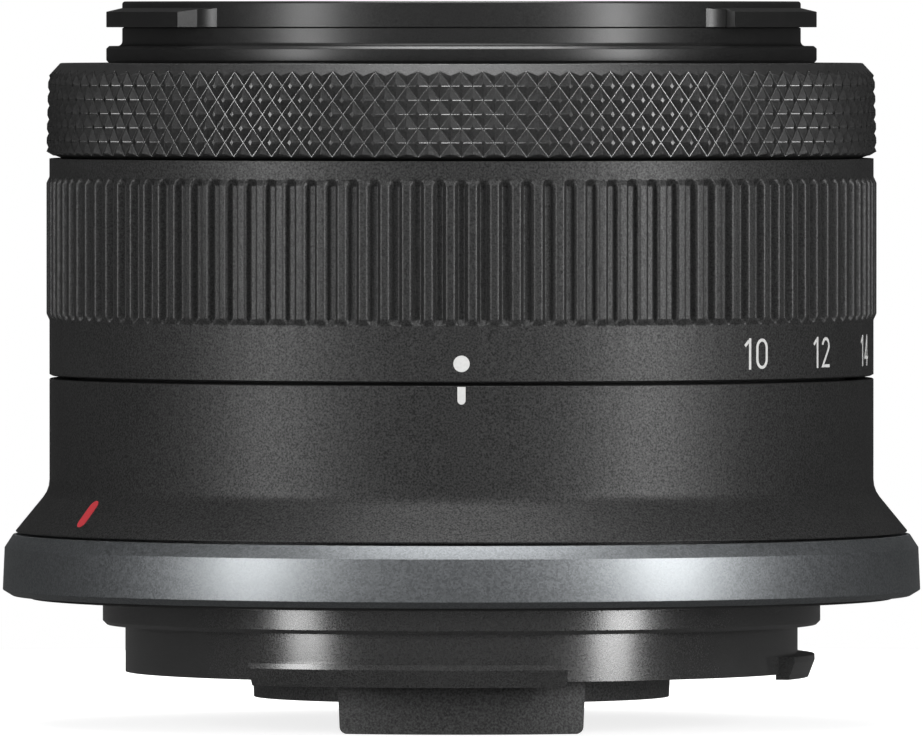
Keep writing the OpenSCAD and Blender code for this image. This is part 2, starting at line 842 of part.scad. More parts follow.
// Grooves between the ribs, with a ramp at either end
module grip_grooves() {
    slant = (groove_w - groove_floor_w) / (2 * groove_depth);
    out_half = groove_floor_w / 2 + slant * (groove_out_r - groove_floor_r);
    in_half = groove_floor_w / 2 - slant * (rib_ramp / 2);
    ramp_end = groove_out_r - groove_floor_r - rib_ramp;
    intersection() {
        turned([[groove_floor_r, rib_bottom + rib_ramp], [groove_out_r, rib_bottom - ramp_end],
            [groove_out_r, rib_top + ramp_end], [groove_floor_r, rib_top - rib_ramp]]);
        at_angles(spread(rib_count, NEAR)) translate([0, 0, zoom_bottom]) linear_extrude(zoom_w)
            polygon([[groove_floor_r - rib_ramp / 2, -in_half], [groove_out_r, -out_half],
                [groove_out_r, out_half], [groove_floor_r - rib_ramp / 2, in_half]]);
    }
}

module cam_barrel() {
    color(BRASS) difference() {
        band(cam_r, cam_bore, cam_bottom, cam_top - cam_bottom);
        at_angles(FRONT_ROLLERS) cam_slot(front_roller_z, front_travel);
        at_angles(REAR_ROLLERS) cam_slot(rear_roller_z, rear_travel);
        at_angles(KEYS) key_block(seat_fit);
    }
}

// Cutter for a cam slot, which climbs at a steady rate round the axis
module cam_slot(low, rise) {
    half = (roller_r + roller_play) / cos(atan(rise / (cam_bore * zoom_turn * PI / 180)));
    past = asin((roller_r + roller_play) / cam_bore);
    corners = [[cam_bore - CUT, -half], [cam_r + CUT, -half], [cam_r + CUT, half], [cam_bore - CUT, half]];
    points = [for (k = [0:slot_steps], corner = corners)
        let (angle = (zoom_turn + 2 * past) * k / slot_steps - past)
        [corner[0] * cos(angle), corner[0] * sin(angle), low + rise * angle / zoom_turn + corner[1]]];
    sides = [for (k = [0:slot_steps - 1], c = [0:3])
        let (a = 4 * k + c, b = 4 * k + (c + 1) % 4)
        each [[a, b, b + 4], [a, b + 4, a + 4]]];
    last = 4 * slot_steps;
    polyhedron(points, concat(sides, [[0, 3, 2, 1], [last, last + 1, last + 2, last + 3]]));
}

// Key between the zoom ring and the cam barrel, grown by a gap for its pockets
module key_block(gap) {
    translate([cam_r - key_depth - gap, -key_w / 2 - gap, key_top - key_h - gap])
        cube([2 * key_depth + 2 * gap, key_w + 2 * gap, key_h + 2 * gap]);
}

module drive_keys() {
    color(STEEL) at_angles(KEYS) key_block(0);
}

module zoom_scale() {
    color(BOARD) rotate(scale_start) rotate_extrude(angle = scale_span)
        translate([cam_r, scale_bottom]) square([scale_t, scale_h]);
}

// Control ring and what turns with it

module control_ring() {
    color(BLACK) difference() {
        knurled_disc();
        turned([[0, control_bottom - CUT], [relief_r, control_bottom - CUT], [relief_r, bead_bottom],
            [bead_r, bead_bottom], [bead_r, bead_top], [relief_r, bead_top], [relief_r, lip_bottom],
            [lip_bore, lip_bottom], [lip_bore, control_top + CUT], [0, control_top + CUT]]);
    }
}

// Disc with rows of four-sided points round it: every second point of a row stands out, and the
// rows are shifted by one point, so that the low points join into crossing lines
module knurled_disc() {
    count = 2 * knurl_count;
    pitch = (knurl_top - control_bottom - knurl_foot_h) / knurl_rows;
    rows = concat([[control_bottom, valley_r, valley_r]],
        [for (j = [0:knurl_rows - 1]) let (z = control_bottom + knurl_foot_h + j * pitch)
            j % 2 == 1 ? [z, knurl_r, valley_r] : [z, valley_r, knurl_r]],
        [[knurl_top, knurl_band_r, knurl_band_r], [control_top - knurl_edge_h, knurl_edge_r, knurl_edge_r],
        [control_top, control_edge_r, control_edge_r]]);
    points = [for (row = rows, i = [0:count - 1])
        let (radius = row[1 + i % 2], angle = NEAR + i * 360 / count)
        [radius * cos(angle), radius * sin(angle), row[0]]];
    skin = [for (j = [0:len(rows) - 2], i = [0:count - 1])
        let (a = j * count + i, b = j * count + (i + 1) % count, c = b + count, d = a + count)
        each (i + j) % 2 == 0 ? [[a, d, b], [d, c, b]] : [[a, d, c], [a, c, b]]];
    floor_face = [for (i = [0:count - 1]) i];
    roof_face = [for (i = [len(points) - 1:-1:len(points) - count]) i];
    polyhedron(points, concat(skin, [floor_face, roof_face]));
}

module click_ring() {
    color(STEEL) difference() {
        band(relief_r - seat_fit, click_r, click_bottom, click_h);
        at_angles(spread(click_count, spring_angle))
            translate([click_r + notch_depth - notch_r, 0, click_bottom - CUT])
                cylinder(r = notch_r, h = click_h + 2 * CUT);
    }
}

module ring_scale() {
    color(STEEL) band(relief_r - seat_fit, relief_r - ring_scale_t, sensor_bottom, sensor_h);
}

// Front barrel and what slides with it

module front_barrel() {
    groove_top = hood_lug_bottom;
    color(SATIN) difference() {
        union() {
            turned(concat(
                [[tube_bore, tube_bottom], [tube_r, tube_bottom], [tube_r, nose_bottom],
                [hood_r, nose_bottom], [hood_r, hood_flange_top - hood_chamfer],
                [hood_r - hood_chamfer, hood_flange_top]],
                bend([rim_r + hood_fillet, hood_flange_top + hood_fillet], hood_fillet, 270, 180),
                [[rim_r, groove_top], [rim_r + rim_step, groove_top], [rim_r + rim_step, hood_lug_top],
                [rim_r, hood_lug_top + rim_step]],
                bend([rim_r - rim_round, front_z - rim_round], rim_round, 0, 90),
                [[filter_r + filter_chamfer, front_z], [filter_r, front_z - filter_chamfer],
                [filter_r, filter_floor], [bezel_flange_r + seat_fit, filter_floor],
                [bezel_flange_r + seat_fit, bezel_floor], [shoulder_bore, bezel_floor],
                [shoulder_bore, shoulder_bottom],
                [tube_bore, shoulder_bottom]]));
            for (side = [0, 180])
                rotate(side - hood_lug_span / 2) rotate_extrude(angle = hood_lug_span)
                    polygon([[rim_r - rim_round, groove_top], [hood_r, groove_top],
                        [hood_r, hood_lug_top], [rim_r - rim_round, hood_lug_top + hood_lug_slope]]);
        }
        at_angles(FRONT_ROLLERS) roller(front_roller_z, tube_bore - CUT, seat_fit);
    }
}

// Radial roller that runs in a guide slot and a cam slot, grown by a gap for its hole
module roller(height, from, gap) {
    translate([from, 0, height]) rotate([0, 90, 0]) cylinder(r = roller_r + gap, h = roller_reach - from);
}

module front_rollers() {
    color(STEEL) at_angles(FRONT_ROLLERS) roller(front_roller_z, tube_bore, 0);
}

module front_cell() {
    color(SATIN) turned([[third_r + seat_fit, cell_bottom], [cell_tail_r, cell_bottom],
        [cell_tail_r, second_seat - cell_floor_t], [cell_neck_r, second_seat - cell_floor_t],
        [cell_neck_r, first_seat - cell_floor_t], [cell_r, first_seat - cell_floor_t],
        [cell_r, shoulder_bottom - cell_flange_t], [cell_flange_r, shoulder_bottom - cell_flange_t],
        [cell_flange_r, shoulder_bottom], [first_r + seat_fit, shoulder_bottom],
        [first_r + seat_fit, first_seat], [second_r + seat_fit, first_seat],
        [second_r + seat_fit, second_seat], [third_stop_r, second_seat], [third_stop_r, third_stop],
        [third_r + seat_fit, third_stop]]);
}

module front_cell_clamp() {
    color(STEEL) band(cell_flange_r, clamp_bore, shoulder_bottom - cell_flange_t - clamp_h, clamp_h);
}

module front_bezel() {
    run = (bezel_stair_out - bezel_stair_in) / bezel_steps;
    drop = (bezel_top - bezel_stair_z) / bezel_steps;
    stairs = [for (i = [0:bezel_steps - 1])
        each [[bezel_stair_out - i * run, bezel_top - i * drop],
            [bezel_stair_out - i * run, bezel_top - (i + 1) * drop]]];
    color(SATIN) turned(concat([[bezel_bore, bezel_skirt_z], [bezel_skirt_r, bezel_skirt_z],
        [bezel_skirt_r, bezel_rest], [shoulder_bore - seat_fit, bezel_rest],
        [shoulder_bore - seat_fit, bezel_floor + seat_fit], [bezel_flange_r, bezel_floor + seat_fit],
        [bezel_flange_r, bezel_top]], stairs, [[bezel_stair_in, bezel_stair_z], [bezel_bore, bezel_cone_z]]));
}

module first_element() {
    color(GLASS) meniscus(first_r, first_seat, first_apex, first_ball, first_hollow_r, first_hollow_ball);
}

module second_element() {
    color(GLASS)
        meniscus(second_r, second_seat, second_apex, second_ball, second_hollow_r, second_hollow_ball);
}

module third_element() {
    color(GLASS) intersection() {
        translate([0, 0, third_bottom]) cylinder(r = third_r, h = third_apex - third_bottom);
        translate([0, 0, third_apex - third_ball]) sphere(r = third_ball);
    }
}

module third_element_ring() {
    color(SATIN) band(third_r, third_stop_r, cell_bottom, third_bottom - cell_bottom - seat_fit);
}

// Rear group and what it carries

module rear_frame() {
    color(SATIN) difference() {
        turned([[core_stop_r, web_bottom], [frame_ring_bore, web_bottom], [frame_ring_bore, frame_bottom],
            [tube_r, frame_bottom], [tube_r, frame_top], [core_r, frame_top], [core_r, core_top],
            [core_bore, core_top], [core_bore, fourth_seat], [core_stop_r, fourth_seat]]);
        at_angles(REAR_ROLLERS) roller(rear_roller_z, frame_ring_bore - CUT, seat_fit);
        for (side = [-1, 1])
            translate([side * ROD_XY[0], ROD_XY[1], web_bottom - CUT])
                cylinder(r = rod_r + seat_fit, h = CUT + rod_seat_depth);
        translate([0, screw_y, web_bottom - CUT]) cylinder(r = lead_r + slide_fit, h = web_t + 2 * CUT);
    }
}

module rear_rollers() {
    color(STEEL) at_angles(REAR_ROLLERS) roller(rear_roller_z, frame_ring_bore, 0);
}

module fourth_element() {
    color(GLASS) plano_convex(glass_r, fourth_seat, fourth_edge, fourth_h);
}

module fifth_element() {
    color(GLASS) plano_convex(glass_r, fifth_seat, fifth_edge, fifth_h);
}

// Iris

module iris_base() {
    color(SATIN) difference() {
        union() {
            turned([[iris_open_r, core_top], [iris_r, core_top], [iris_r, iris_lid_bottom],
                [iris_r - iris_wall, iris_lid_bottom], [iris_r - iris_wall, iris_floor_top],
                [iris_open_r, iris_floor_top]]);
            at_angles(spread(blade_count, 0))
                translate([pivot_r, 0, core_top]) cylinder(r = pivot_pin_r, h = pivot_top - core_top);
        }
        rotate(pinion_angle) translate([gear_distance, 0, core_top - CUT])
            cylinder(r = pinion_pitch_r + tooth_module, h = iris_lid_bottom - core_top + 2 * CUT);
    }
}

module iris_lid() {
    color(SATIN) band(iris_r, iris_open_r, iris_lid_bottom, iris_lid_t);
}

// One blade on its own level: a curved leaf, an ear with the pivot hole and a tail with the drive pin
module iris_blade(number) {
    level = blade_floor + (number - 1) * blade_pitch;
    tail = pivot_r * [cos(tail_angle), -sin(tail_angle)];
    color(BLACK) rotate((number - 1) * blade_gap) difference() {
        union() {
            translate([0, 0, level]) rotate_extrude(angle = blade_span)
                translate([iris_open_r, 0]) square([blade_w, blade_t]);
            translate([pivot_r, 0, level]) cylinder(r = ear_r, h = blade_t);
            translate([0, 0, level]) linear_extrude(blade_t)
                polygon([[pivot_r - ear_r - tail_pin_r, 0], [pivot_r, -ear_r],
                    tail + [-tail_pin_r, -tail_pin_r], tail + [tail_pin_r, -tail_pin_r],
                    [pivot_r + ear_r, 0], [pivot_r, ear_r], [iris_open_r + blade_w / 2, 2 * ear_r]]);
            translate([tail[0], tail[1], level]) cylinder(r = tail_pin_r, h = iris_ring_top - level);
        }
        translate([pivot_r, 0, level - CUT]) cylinder(r = pivot_pin_r + pivot_play, h = blade_t + 2 * CUT);
    }
}

// Where a blade's drive pin stands when the blade has turned
function tail_at(turn) = let (from = pivot_r * [cos(tail_angle) - 1, -sin(tail_angle)])
    [pivot_r + from[0] * cos(turn) - from[1] * sin(turn), from[0] * sin(turn) + from[1] * cos(turn)];

// Plan point turned about the axis
function turned_point(point, angle) =
    [point[0] * cos(angle) - point[1] * sin(angle), point[0] * sin(angle) + point[1] * cos(angle)];

module iris_drive_ring() {
    color(STEEL) difference() {
        union() {
            band(ring_pitch_r - tooth_module * tooth_root, iris_ring_bore, iris_ring_bottom, iris_ring_t);
            rotate(pinion_angle) translate([0, 0, iris_ring_bottom]) linear_extrude(iris_ring_t)
                for (i = [-teeth_before:sector_margin])
                    rotate((i + 0.5) * 360 / ring_teeth) tooth(ring_teeth);
        }
        at_angles(spread(blade_count, 0)) drive_slot();
    }
}

// Straight slot from the place of a drive pin with the iris open to that with it closed
module drive_slot() {
    open = tail_at(0);
    shut = turned_point(tail_at(blade_turn), -iris_turn);
    half = tail_pin_r + tail_play;
    run = shut - open;
    for (place = [open, shut])
        translate([place[0], place[1], iris_ring_bottom - CUT]) cylinder(r = half, h = iris_ring_t + 2 * CUT);
    translate([open[0], open[1], iris_ring_bottom - CUT]) rotate(atan2(run[1], run[0]))
        translate([0, -half, 0]) cube([norm(run), 2 * half, iris_ring_t + 2 * CUT]);
}

// Outline of one gear tooth along +X, with flanks that roll on each other
module tooth(teeth) {
    pitch_r = teeth * tooth_module / 2;
    base_r = pitch_r * cos(pressure_angle);
    root_r = pitch_r - tooth_module * tooth_root;
    tip_r = pitch_r + tooth_module * tooth_top;
    low_r = max(base_r, root_r);
    half = 90 / teeth - backlash / 2 / pitch_r * 180 / PI + roll(pressure_angle);
    flank = [for (i = [0:flank_steps]) let (r = low_r + (tip_r - low_r) * i / flank_steps)
        [r, half - roll(acos(min(1, base_r / r)))]];
    foot = [root_r - tooth_module / 2, flank[0][1]];
    side = concat([foot], flank);
    polygon(concat([for (p = side) p[0] * [cos(p[1]), -sin(p[1])]],
        [for (i = [len(side) - 1:-1:0]) side[i][0] * [cos(side[i][1]), sin(side[i][1])]]));
}

// Roll angle of an involute at a pressure angle
function roll(angle) = tan(angle) * 180 / PI - angle;

module iris_pinion() {
    root_r = pinion_pitch_r - tooth_module * tooth_root;
    color(BRASS) rotate(pinion_angle) translate([gear_distance, 0, 0]) {
        translate([0, 0, iris_ring_bottom]) {
            cylinder(r = root_r, h = iris_ring_t);
            linear_extrude(iris_ring_t) for (i = [0:pinion_teeth - 1])
                rotate(180 + i * 360 / pinion_teeth) tooth(pinion_teeth);
        }
        translate([0, 0, iris_motor_top - shaft_depth])
            cylinder(r = shaft_r, h = iris_ring_bottom - iris_motor_top + shaft_depth);
    }
}

module iris_motor() {
    color(STEEL) rotate(pinion_angle) translate([gear_distance, 0, 0]) difference() {
        translate([0, 0, frame_top]) cylinder(r = iris_motor_r, h = iris_motor_top - frame_top);
        translate([0, 0, iris_motor_top - shaft_depth - slide_fit])
            cylinder(r = shaft_r + slide_fit, h = shaft_depth + CUT);
    }
}

// Focus drive

module focus_motor() {
    color(STEEL) translate([0, screw_y, 0]) difference() {
        translate([0, 0, frame_top]) cylinder(r = focus_motor_r, h = focus_motor_h);
        translate([0, 0, frame_top - CUT])
            cylinder(r = lead_r + slide_fit, h = CUT + rotor_depth + slide_fit);
    }
}

module focus_rods() {
    color(STEEL) for (side = [-1, 1])
        translate([side * ROD_XY[0], ROD_XY[1], end_plate_top - end_plate_t])
            cylinder(r = rod_r, h = web_bottom + rod_seat_depth - seat_fit - end_plate_top + end_plate_t);
}

module focus_end_plate() {
    color(STEEL) difference() {
        band(end_plate_r, end_plate_bore, end_plate_top - end_plate_t, end_plate_t);
        for (side = [-1, 1])
            translate([side * ROD_XY[0], ROD_XY[1], end_plate_top - end_plate_t - CUT])
                cylinder(r = rod_r + seat_fit, h = end_plate_t + 2 * CUT);
        translate([0, screw_y, end_plate_top - end_plate_t - CUT])
            cylinder(r = lead_r + slide_fit, h = end_plate_t + 2 * CUT);
    }
}

module lead_screw() {
    color(STEEL) translate([0, screw_y, end_plate_top - end_plate_t])
        cylinder(r = lead_r, h = frame_top + rotor_depth - end_plate_top + end_plate_t);
}

module focus_frame() {
    color(SATIN) difference() {
        union() {
            translate([0, 0, focus_z]) cylinder(r = focus_ring_r, h = focus_glass_seat + focus_glass_edge);
            for (side = [-1, 1]) {
                translate([side * ROD_XY[0], ROD_XY[1], focus_z]) cylinder(r = sleeve_r, h = sleeve_h);
                focus_arm([side * ROD_XY[0], ROD_XY[1]]);
            }
            translate([0, screw_y, focus_z]) cylinder(r = nut_r, h = sleeve_h);
            focus_arm([0, screw_y]);
        }
        translate([0, 0, focus_z - CUT]) cylinder(r = focus_stop_r, h = sleeve_h);
        translate([0, 0, focus_z + focus_glass_seat]) cylinder(r = focus_r + seat_fit, h = sleeve_h);
        for (side = [-1, 1])
            translate([side * ROD_XY[0], ROD_XY[1], focus_z - CUT])
                cylinder(r = rod_r + slide_fit / 2, h = sleeve_h + 2 * CUT);
        translate([0, screw_y, focus_z - CUT]) cylinder(r = lead_r + slide_fit / 2, h = sleeve_h + 2 * CUT);
    }
}

// Arm from the ring of the focus frame to a point in plan
module focus_arm(place) {
    start = (focus_r + focus_ring_r) / 2;
    rotate(atan2(place[1], place[0])) translate([start, -arm_w / 2, focus_z])
        cube([norm(place) - start, arm_w, arm_h]);
}

module focus_element() {
    color(GLASS) plano_convex(focus_r, focus_z + focus_glass_seat, focus_glass_edge, focus_glass_h);
}

bayonet_mount();
mount_screws();
accent_ring();
rear_barrel();
guide_barrel();
control_retainer();
click_spring();
ring_sensor();
zoom_brush();
rear_baffle();
baffle_screws();
rear_element();
rear_element_ring();
contact_block();
contact_pins();
contact_flex();
circuit_board();
circuit_chips();
zoom_ring();
cam_barrel();
drive_keys();
zoom_scale();
control_ring();
click_ring();
ring_scale();
front_barrel();
front_rollers();
front_cell();
front_cell_clamp();
front_bezel();
first_element();
second_element();
third_element();
third_element_ring();
rear_frame();
rear_rollers();
fourth_element();
fifth_element();
iris_base();
iris_lid();
iris_motor();
iris_pinion();
iris_drive_ring();
iris_blade(1);  // iris_blade_1
iris_blade(2);  // iris_blade_2
iris_blade(3);  // iris_blade_3
iris_blade(4);  // iris_blade_4
iris_blade(5);  // iris_blade_5
iris_blade(6);  // iris_blade_6
iris_blade(7);  // iris_blade_7
focus_motor();
focus_rods();
focus_end_plate();
lead_screw();
focus_frame();
focus_element();
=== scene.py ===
from math import ceil, cos, pi, radians, sin, tan

import bmesh
import bpy
import numpy as np
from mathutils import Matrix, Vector


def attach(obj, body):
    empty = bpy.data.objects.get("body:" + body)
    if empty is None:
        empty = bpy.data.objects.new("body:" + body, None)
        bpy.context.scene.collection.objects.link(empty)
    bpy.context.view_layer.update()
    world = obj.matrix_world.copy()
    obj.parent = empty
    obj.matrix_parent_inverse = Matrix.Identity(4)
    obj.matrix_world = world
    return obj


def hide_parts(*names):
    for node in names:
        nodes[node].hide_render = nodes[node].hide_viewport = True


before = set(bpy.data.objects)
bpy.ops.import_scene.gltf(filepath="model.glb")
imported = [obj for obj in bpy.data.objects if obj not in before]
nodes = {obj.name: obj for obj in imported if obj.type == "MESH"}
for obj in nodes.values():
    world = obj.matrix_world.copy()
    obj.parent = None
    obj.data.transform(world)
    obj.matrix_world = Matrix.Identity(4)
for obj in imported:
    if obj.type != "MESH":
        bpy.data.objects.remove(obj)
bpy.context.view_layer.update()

MM = 0.001
NEAR = -pi / 2  # the side that faces the camera, as an angle round the optical axis
SHARP = radians(38)


class Wire:
    """An output socket of a node. Arithmetic on it adds Math nodes to its tree."""

    def __init__(self, bench, socket):
        self.bench, self.socket = bench, socket

    def other(self, name):
        """Another output of the same node."""
        return Wire(self.bench, self.socket.node.outputs[name])

    def maths(self, operation, *values):
        return self.bench.node("ShaderNodeMath", {"operation": operation}, dict(enumerate(values)))

    def __add__(self, value):
        return self.maths("ADD", self, value)

    def __radd__(self, value):
        return self.maths("ADD", value, self)

    def __sub__(self, value):
        return self.maths("SUBTRACT", self, value)

    def __rsub__(self, value):
        return self.maths("SUBTRACT", value, self)

    def __mul__(self, value):
        return self.maths("MULTIPLY", self, value)

    def __rmul__(self, value):
        return self.maths("MULTIPLY", value, self)

    def __truediv__(self, value):
        return self.maths("DIVIDE", self, value)

    def __rtruediv__(self, value):
        return self.maths("DIVIDE", value, self)

    def __pow__(self, value):
        return self.maths("POWER", self, value)

    def __mod__(self, value):
        return self.maths("FLOORED_MODULO", self, value)

    def __lt__(self, value):
        return self.maths("LESS_THAN", self, value)

    def __gt__(self, value):
        return self.maths("GREATER_THAN", self, value)

    def __abs__(self):
        return self.maths("ABSOLUTE", self)

    def smallest(self, value, blend=0.0):
        return self.maths("SMOOTH_MIN", self, value, blend)

    def largest(self, value, blend=0.0):
        return self.maths("SMOOTH_MAX", self, value, blend)


class Bench:
    """A node tree, with one method that adds any node to it."""

    def __init__(self, tree):
        self.tree = tree

    def node(self, kind, settings=None, sockets=None, output=0):
        made = self.tree.nodes.new(kind)
        for name, value in (settings or {}).items():
            if name == "stops":
                ramp = made.color_ramp.elements
                while len(ramp) < len(value):
                    ramp.new(1.0)
                for stop, (place, colour) in zip(ramp, value):
                    stop.position, stop.color = place, colour
            else:
                setattr(made, name, value)
        for name, value in (sockets or {}).items():
            if isinstance(value, Wire):
                self.tree.links.new(value.socket, made.inputs[name])
            else:
                made.inputs[name].default_value = value
        return Wire(self, made.outputs[output]) if len(made.outputs) else made

    def place(self):
        return self.node("ShaderNodeTexCoord", output="Object")

    def noise(self, place, scale, detail=2.0, roughness=0.5):
        return self.node("ShaderNodeTexNoise", {}, {
            "Vector": place, "Scale": scale, "Detail": detail, "Roughness": roughness})

    def blended(self, share, first, second):
        """A colour between two colours."""
        return self.node("ShaderNodeMix", {"data_type": "RGBA"}, {0: share, 6: first, 7: second}, 2)

    def bump(self, height, distance, facing=None):
        """A fine relief, on the surface as it is or on one that faces another way."""
        return self.node("ShaderNodeBump", {}, {
            "Height": height, "Distance": distance, **({"Normal": facing} if facing else {})})


def new_finish(name):
    finish = bpy.data.materials.new(name)
    finish.use_nodes = True
    finish.node_tree.nodes.clear()
    return finish, Bench(finish.node_tree)


def coated(bench, **sockets):
    """The surface shader of a finish, wired to its output. Socket names have _ for a space."""
    shader = bench.node("ShaderNodeBsdfPrincipled", {}, {
        name.replace("_", " "): value for name, value in sockets.items()})
    bench.node("ShaderNodeOutputMaterial", {}, {"Surface": shader})


def tone(value, tint=(1.0, 1.0, 1.0)):
    return tuple(value * part for part in tint) + (1.0,)


def moulded(name, shade, rough, grain, depth, uneven=0.2, gloss=0.5, speckle=0.0, lines=None):
    """Spark-grained moulded plastic: a fine pitted skin, a little uneven in shade and gloss.
    speckle is how much more the tops of the grain shine than its pits. lines gives how far a point lies
    on a glossy, metal-like edge, its colour there (lightened: a painted highlight), its roughness and the way that
    the skin faces."""
    finish, bench = new_finish(name)
    place = bench.place()
    pits = ((bench.noise(place, grain, 2.0, 0.6) - 0.5) * 3.0 + 0.5).smallest(1.0).largest(0.0)
    clouds = bench.noise(place, 160.0, 3.0)
    colour = bench.blended(clouds * 0.3 + pits * 0.7, tone(shade * 0.45), tone(shade * 1.55))
    skin = rough + (pits - 0.5) * uneven + (clouds - 0.5) * 0.06
    edge, facing = 0.0, None
    if lines:
        # On the lines the colour is lightened, a painted highlight, on top of their real metal-like gloss
        edge, bright, polish, facing = lines(bench, place)
        colour, skin = bench.blended(edge, colour, bright), skin + edge * (polish - skin)
    coated(bench,
           Base_Color=colour, Metallic=edge, Roughness=skin, Specular_IOR_Level=gloss,
           Coat_Weight=pits * speckle, Coat_Roughness=rough * 0.9,
           Normal=bench.bump(pits * depth, 1.0, facing))
    return finish


def band(value, middle, half):
    """1 where a value is at the middle of a band, falling to 0 at its edges."""
    return (1 - abs(value - middle) / half).largest(0.0)


def polar_place(bench, place):
    """Angle from the near side, radius and height of a point, from its Object coordinates."""
    apart = bench.node("ShaderNodeSeparateXYZ", {}, {0: place})
    deep = apart.other("Y")
    return apart.maths("ARCTAN2", deep, apart) - NEAR, (apart * apart + deep * deep) ** 0.5, apart.other("Z")


def rib_edges(bench, place):
    """The edges of the grip ribs, and of the grooves' floors between them, as glossy metal-like bands; their
    lighter colour is a painted highlight.
    """
    angle, radius, height = polar_place(bench, place)
    pitch = 2 * pi / GRIP_COUNT
    aside = abs((angle / pitch + 0.5) % 1 - 0.5) * (pitch * RIB_R)
    along = (height - (GRIP_FOOT + 0.3) * MM > 0.0) * ((GRIP_TOP - 0.1) * MM - height > 0.0)
    edges = band(aside, *RIB_EDGE).largest(band(aside, *FLOOR_EDGE)) * along
    return edges * RIB_SHINE, tone(RIB_EDGE_HIGHLIGHT_SHADE), RIB_ROUGH, None


def knurl_lines(bench, place):
    """The valleys, level ridges and blunt tips of the knurl, with the small rounds along them, as glossy
    metal-like lines; their lighter colour is a painted highlight, lightest in the valleys.
    """
    angle, radius, height = polar_place(bench, place)
    over, up = angle / (pi / CELLS), (height - FIRST_ROW * MM) / (ROW_HALF * MM)
    rise, fall = (over + up) % 2 - 1, (over - up) % 2 - 1
    off_rise, off_fall = abs(rise), abs(fall)
    pyramid = 1 - off_rise.largest(off_fall)
    blunt = pyramid > BLUNT
    valley_radius = VALLEY_R * MM - up * (ROW_HALF * TAPER * MM)
    on_skin = (pyramid / BLUNT).smallest(1.0) * (KNURL_DEPTH * MM) + valley_radius - radius < SKIN_FIT

    down_rise = rise.maths("SIGN", rise) * ((1 - off_rise) / VALLEY_ROUND).smallest(1.0) * (1 - blunt)
    down_fall = fall.maths("SIGN", fall) * ((1 - off_fall) / VALLEY_ROUND).smallest(1.0) * (1 - blunt)
    share = ((off_rise - off_fall) / RIDGE_ROUND + 0.5).smallest(1.0).largest(0.0)
    down_rise, down_fall = down_rise * share, down_fall * (1 - share)
    turn = (down_rise + down_fall) * (KNURL_DEPTH / BLUNT / (pi / CELLS * (VALLEY_R + KNURL_DEPTH / 2)))
    tilt = (down_rise - down_fall) * (KNURL_DEPTH / BLUNT / ROW_HALF)
    apart = bench.node("ShaderNodeSeparateXYZ", {}, {0: place})
    across, deep = apart, apart.other("Y")
    outward = bench.node("ShaderNodeCombineXYZ", {}, {
        "X": across - turn * deep, "Y": deep + turn * across, "Z": (tilt + TAPER) * radius})
    facing = bench.node("ShaderNodeVectorTransform", {
        "vector_type": "NORMAL", "convert_from": "OBJECT", "convert_to": "WORLD"}, {0: outward})
    facing = bench.node("ShaderNodeMix", {"data_type": "VECTOR"}, {
        0: on_skin, 4: bench.node("ShaderNodeNewGeometry", output="Normal"), 5: facing}, 1)

    # Painted highlight: the lines' colour is lightened, and the valleys most of all
    valley = (1.2 - pyramid / VALLEY_ROUND).smallest(1.0).largest(0.0)
    level = (1.2 - abs((up + 0.5) % 1 - 0.5) / (RIDGE_ROUND / 4)).smallest(1.0).largest(0.0)
    edge = valley.largest(level).largest(blunt) * on_skin
    return edge, LINE_HIGHLIGHT_SHADE + valley * VALLEY_HIGHLIGHT_SHADE, LINE_ROUGH + blunt * TIP_ROUGH, facing


def enamelled(name, shade, tint):
    """Metallic grey paint: fine flakes under a thin lacquer."""
    finish, bench = new_finish(name)
    place = bench.place()
    flakes = bench.node("ShaderNodeTexVoronoi", {"feature": "F1"}, {
        "Vector": place, "Scale": 8500.0}, "Color")
    lightness = bench.node("ShaderNodeSeparateColor", {}, {"Color": flakes})
    peel = bench.noise(place, 900.0, 2.0)
    coated(bench,
           Base_Color=bench.blended(lightness * 0.85 + peel * 0.15,
                                    tone(shade * 0.82, tint), tone(shade * 1.18, tint)),
           Metallic=0.95, Roughness=0.38 + lightness * 0.1 + (peel - 0.5) * 0.04,
           Coat_Weight=lightness * 0.6, Coat_Roughness=0.32,
           Normal=bench.bump(lightness * 0.5 + peel * 0.5, 0.000003))
    return finish


def metal(name, colour, rough, lines):
    """Bare turned metal: faint tool lines round the axis and a little tarnish."""
    finish, bench = new_finish(name)
    place = bench.place()
    apart = bench.node("ShaderNodeSeparateXYZ", {}, {"Vector": place})
    radius = (apart * apart + apart.other("Y") * apart.other("Y")) ** 0.5
    swept = bench.node("ShaderNodeCombineXYZ", {}, {"X": radius, "Y": apart.other("Z")})
    tool = bench.noise(swept, lines, 2.0)
    tarnish = bench.noise(place, 400.0, 3.0)
    coated(bench,
           Base_Color=bench.blended(tarnish, tone(0.78, colour), tone(1.0, colour)),
           Metallic=1.0, Roughness=rough + (tool - 0.5) * 0.2 + (tarnish - 0.5) * 0.1,
           Normal=bench.bump(tool, 0.000004))
    return finish


def lens_glass(name, tint, film):
    """Coated optical glass, with the faintest unevenness in its polish."""
    finish, bench = new_finish(name)
    smear = bench.noise(bench.place(), 120.0, 4.0)
    coated(bench,
           Base_Color=bench.blended(smear, tone(1.0, tint), tone(0.97, tint)),
           Roughness=smear * 0.03, IOR=1.6, Transmission_Weight=1.0,
           Thin_Film_Thickness=film, Thin_Film_IOR=1.38)
    return finish


def ink(name, colour):
    """Printed or filled paint, a little uneven."""
    finish, bench = new_finish(name)
    speck = bench.noise(bench.place(), 5000.0, 3.0, 0.6)
    coated(bench,
           Base_Color=bench.blended(speck, tone(0.82, colour), tone(1.08, colour)),
           Roughness=0.4 + speck * 0.2, Normal=bench.bump(speck, 0.000004))
    return finish


